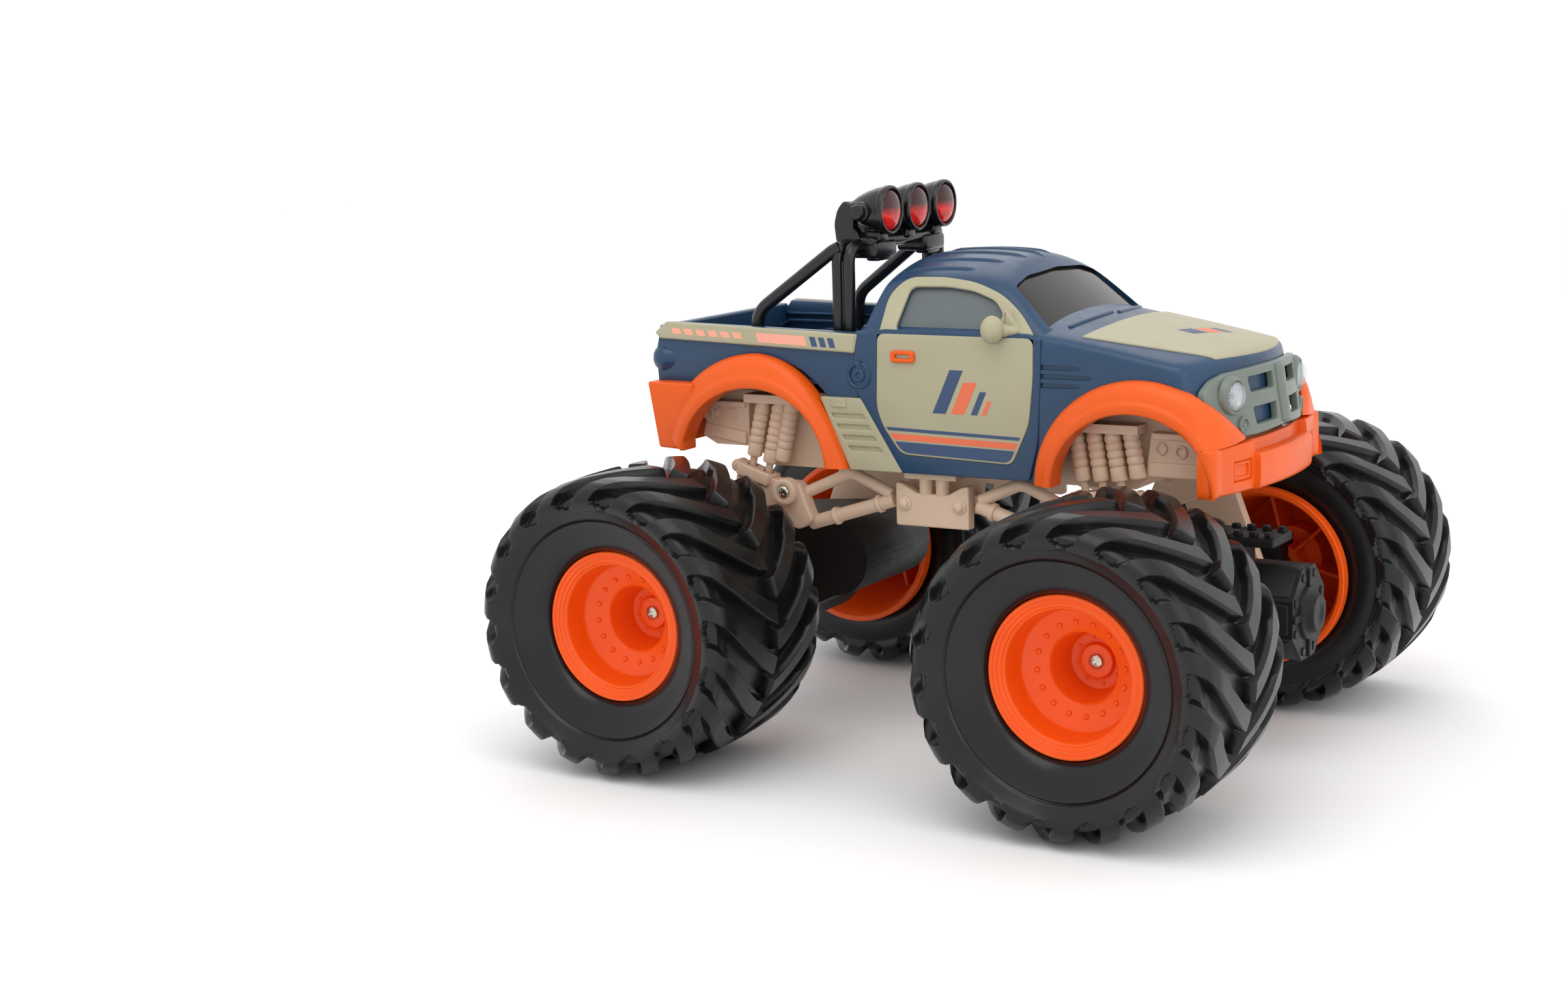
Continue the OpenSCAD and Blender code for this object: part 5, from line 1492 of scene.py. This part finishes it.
def brackets():
    parts = Parts()
    plate = [(-14.2, 80), (14.2, 80), (14.2, 95.2), (11.6, 94.8), (6, 91.6), (-6, 91.6),
        (-11.6, 94.8), (-14.2, 95.2)]
    parts.panel([rounded(plate, 0.9)], 35.7, 40.2, 0.6, 3)
    for x in (-10.7, 10.7):
        at = turned((0, 1, 0), (x, 40.2, 88))
        parts.lathe([(2.7, -0.4), (2.7, 0.35), (2.5, 0.6), (2.0, 0.7), (1.85, 0.8), (1.8, 1.3),
            (1.45, 1.65), (0.8, 1.85), (0, 1.9)], 36, at=at)
        parts.lathe([(0, -12.0), (1.8, -12.0), (2.0, -11.8), (2.0, -4)], 28, at=at)
    parts.mirrored()
    parts.make("bracket_plates", "beige_plastic", replaces=["pivot_brackets"], smooth=38)

    # recessed horns, ledges and posts that stand proud of the frame
    horns = Parts()
    for x, z in ((-93.2, 114.8), (-88.0, 115.2), (-82.8, 115.2), (83.4, 111.8), (90.4, 111.0)):
        horns.lathe([(2.2, -0.6), (2.2, 0.5), (2.0, 0.8), (1.6, 0.8), (1.4, 0.5), (1.4, -0.4),
            (0, -0.4)], 32, at=turned((0, 1, 0), (x, 36.5, z)))
    for ledge, corner, y in (
            ([(-95.2, 107.5), (-77, 104.6), (-77, 109.2), (-94.2, 111.6)], 0.8, 37.6),
            ([(-92.4, 118.0), (-77, 118.0), (-77, 120), (-92, 120)], 0.5, 37.8),
            ([(79, 102.4), (99.4, 102.4), (98.2, 107.2), (79.6, 107.2)], 0.8, 37.6),
            ([(80.6, 114.8), (96.6, 114.8), (97, 117), (80.4, 117)], 0.5, 37.8)):
        horns.panel([rounded(ledge, corner)], 36.0, y, 0.4)
    for x in (-3.3, 3.3):
        horns.lathe([(1.7, 0), (2.55, 6.0), (2.6, 8.4)], 28, at=Matrix.Translation((x, 38, 91)))
    horns.mirrored()
    horns.make("frame_horns", "beige_plastic", smooth=38)


def axle_housings():
    front = Parts()
    ahead = turned((1, 0, 0), (120.6, 0, 53))
    front.lathe([(9.4, -0.5), (9.4, 1.0), (9.0, 1.6), (7.6, 1.9), (7.0, 2.4), (6.6, 3.8),
        (6.1, 4.4), (3.2, 4.6), (2.6, 4.2), (0, 4.1)], 56, at=ahead)
    for turn in (0, 90):
        spin = ahead @ Matrix.Rotation(radians(turn), 4, "Z")
        for s in (-1, 1):
            lo, hi = sorted((s * 9.0, s * 15.2))
            front.soft_box((lo, -1.3, -0.4), (hi, 1.3, 1.4), 0.45, at=spin)
    for k in range(8):
        spin = ahead @ Matrix.Rotation(radians(45 * k), 4, "Z")
        front.soft_box((14.2, -5.2, -26), (15.9, 5.2, -1.0), 0.6, at=spin)
        front.lathe([(1.5, -0.2), (1.5, 0.7), (1.2, 1.0), (0, 1.0)], 20,
            at=spin @ Matrix.Rotation(radians(22.5), 4, "Z") @ Matrix.Translation((13.6, 0, 0)))
    front.soft_box((76.5, -9.5, 75.4), (112, 9.5, 78.6), 0.7)
    for x in (93, 98.5, 104, 109.5):
        for y in (-6.4, 6.4):
            front.lathe([(1.7, 0), (1.7, 1.4), (1.4, 1.8), (0, 1.9)], 6,
                at=Matrix.Translation((x, y, 78.5)))
    front.lathe([(5.2, 0), (5.0, 1.6), (4.2, 3.0), (2.8, 4.0), (1.2, 4.5), (0, 4.6)], 40,
        at=Matrix.Translation((86.5, 0, 78.2)))
    for s in (LEFT, RIGHT):
        for y in (26, 34, 48, 54):
            front.lathe([(6.4, -0.9), (7.3, -0.6), (7.3, 0.6), (6.4, 0.9)], 36,
                at=turned((0, 1, 0), (HUB_X, s * y, HUB_Z)))
    front.make("front_axle_ribs", "black_plastic", body="front_axle", smooth=38)

    rear = Parts()
    outline = arc(-HUB_X, HUB_Z, 21.6, 21.6, 100, 292, 30)
    for s in (LEFT, RIGHT):
        low, high = sorted((s * 23.6, s * 24.9))
        rear.panel([arc(-HUB_X, HUB_Z, 19.6, 19.6, 0, 352, 44),
            arc(-HUB_X, HUB_Z, 17.6, 17.6, 0, 352, 44)], low, high, 0.3)
        rear.lathe([(10.5, -0.3), (10.5, 1.2), (9.8, 1.8), (7.1, 2.0)], 48,
            at=turned((0, s, 0), (-HUB_X, s * 24, HUB_Z)))
        for k in range(6):
            a = radians(60 * k + 20)
            rear.lathe([(1.7, -0.3), (1.7, 1.2), (1.4, 1.5), (0, 1.5)], 20, at=turned((0, s, 0),
                (-HUB_X + 14.2 * cos(a), s * 24, HUB_Z + 14.2 * sin(a))))
        for y in (29, 46, 52, 58, 64, 70):
            rear.lathe([(6.9, -0.9), (7.8, -0.6), (7.8, 0.6), (6.9, 0.9)], 36,
                at=turned((0, 1, 0), (-HUB_X, s * y, HUB_Z)))
    rear.soft_box((-106.4, -24.6, 51.6), (-103.6, 24.6, 53.4), 0.5)
    inner = [(-HUB_X + (x + HUB_X) * 0.93, HUB_Z + (z - HUB_Z) * 0.93)
             for x, z in reversed(outline)]
    for y in (-16, -8, 0, 8, 16):
        rear.panel([outline + inner], y - 0.8, y + 0.8, 0.25)
    rear.make("rear_case_ribs", "black_plastic", body="rear_axle", smooth=38)


roll_bar()
lamps()
shocks()
links()
brackets()
axle_housings()


# ---- plain nodes that keep their CAD shape ----------------------------------------

def finish_kept_nodes():
    """Bevels and finishes the CAD nodes that nothing replaces."""
    slots = {row["node"]: row["material_slot"] for row in frame["record"]["subparts"]}
    for name, obj in NODES.items():
        if obj.hide_render:
            continue
        obj.data.materials.clear()
        obj.data.materials.append(MAT[slots[name]])
        weld = obj.modifiers.new("weld", "WELD")
        weld.merge_threshold = 0.002 * MM
        add_bevel(obj, 0.22, 2, 40)


finish_kept_nodes()


# ---- floor, light and camera -------------------------------------------------------

def studio():
    mesh = bpy.data.meshes.new("floor")
    size = 3.0
    mesh.from_pydata([(-size, -size, 0), (size, -size, 0), (size, size, 0), (-size, size, 0)], [],
        [(0, 1, 2, 3)])
    floor = linked("floor", mesh)
    sh = Shader("floor_paper")
    sh.colour(sh.mix(sh.ramp(sh.noise(3, 2.0, 0.5), 0.3, 0.7, 0.0, 1.0), (0.965, 0.965, 0.965, 1),
        (0.97, 0.97, 0.97, 1)))
    sh.set("Roughness", 0.9)
    mesh.materials.append(sh.mat)

    world = bpy.data.worlds.new("studio")
    bpy.context.scene.world = world
    world.use_nodes = True
    world.node_tree.nodes["Background"].inputs["Color"].default_value = (1, 1, 1, 1)
    world.node_tree.nodes["Background"].inputs["Strength"].default_value = 1.04

    def area(name, at, target, size, power):
        data = bpy.data.lights.new(name, "AREA")
        data.shape = "RECTANGLE"
        data.size, data.size_y = size
        data.energy = power
        lamp = linked(name, data)
        lamp.location = at
        aim = Vector(target) - Vector(at)
        lamp.rotation_euler = aim.to_track_quat("-Z", "Y").to_euler()

    area("key", (0.15, -0.55, 1.05), (0, 0, 0.08), (0.9, 0.7), 3.2)
    area("fill", (1.1, -0.45, 0.55), (0.05, 0, 0.08), (0.7, 0.7), 1.4)
    area("back", (-0.6, 0.8, 0.9), (0, 0, 0.1), (0.8, 0.8), 1.2)


def camera():
    data = bpy.data.cameras.new("camera")
    data.sensor_width = 36.0
    data.lens = 55.4
    data.clip_start, data.clip_end = 0.02, 20
    cam = linked("camera", data)
    yaw, pitch, roll = (radians(v) for v in (31.59, 9.83, -1.66))
    forward = Vector((-sin(yaw) * cos(pitch), cos(yaw) * cos(pitch), -sin(pitch)))
    right = Vector((cos(yaw), sin(yaw), 0))
    up = right.cross(forward)
    right, up = (right * cos(roll) + up * sin(roll),
                 up * cos(roll) - right * sin(roll))
    turn = Matrix((right, up, -forward)).transposed().to_4x4()
    cam.matrix_world = Matrix.Translation(Vector((386.7, -766.4, 235.8)) * MM) @ turn
    bpy.context.scene.camera = cam


studio()
camera()
bpy.context.scene.view_settings.view_transform = "Standard"
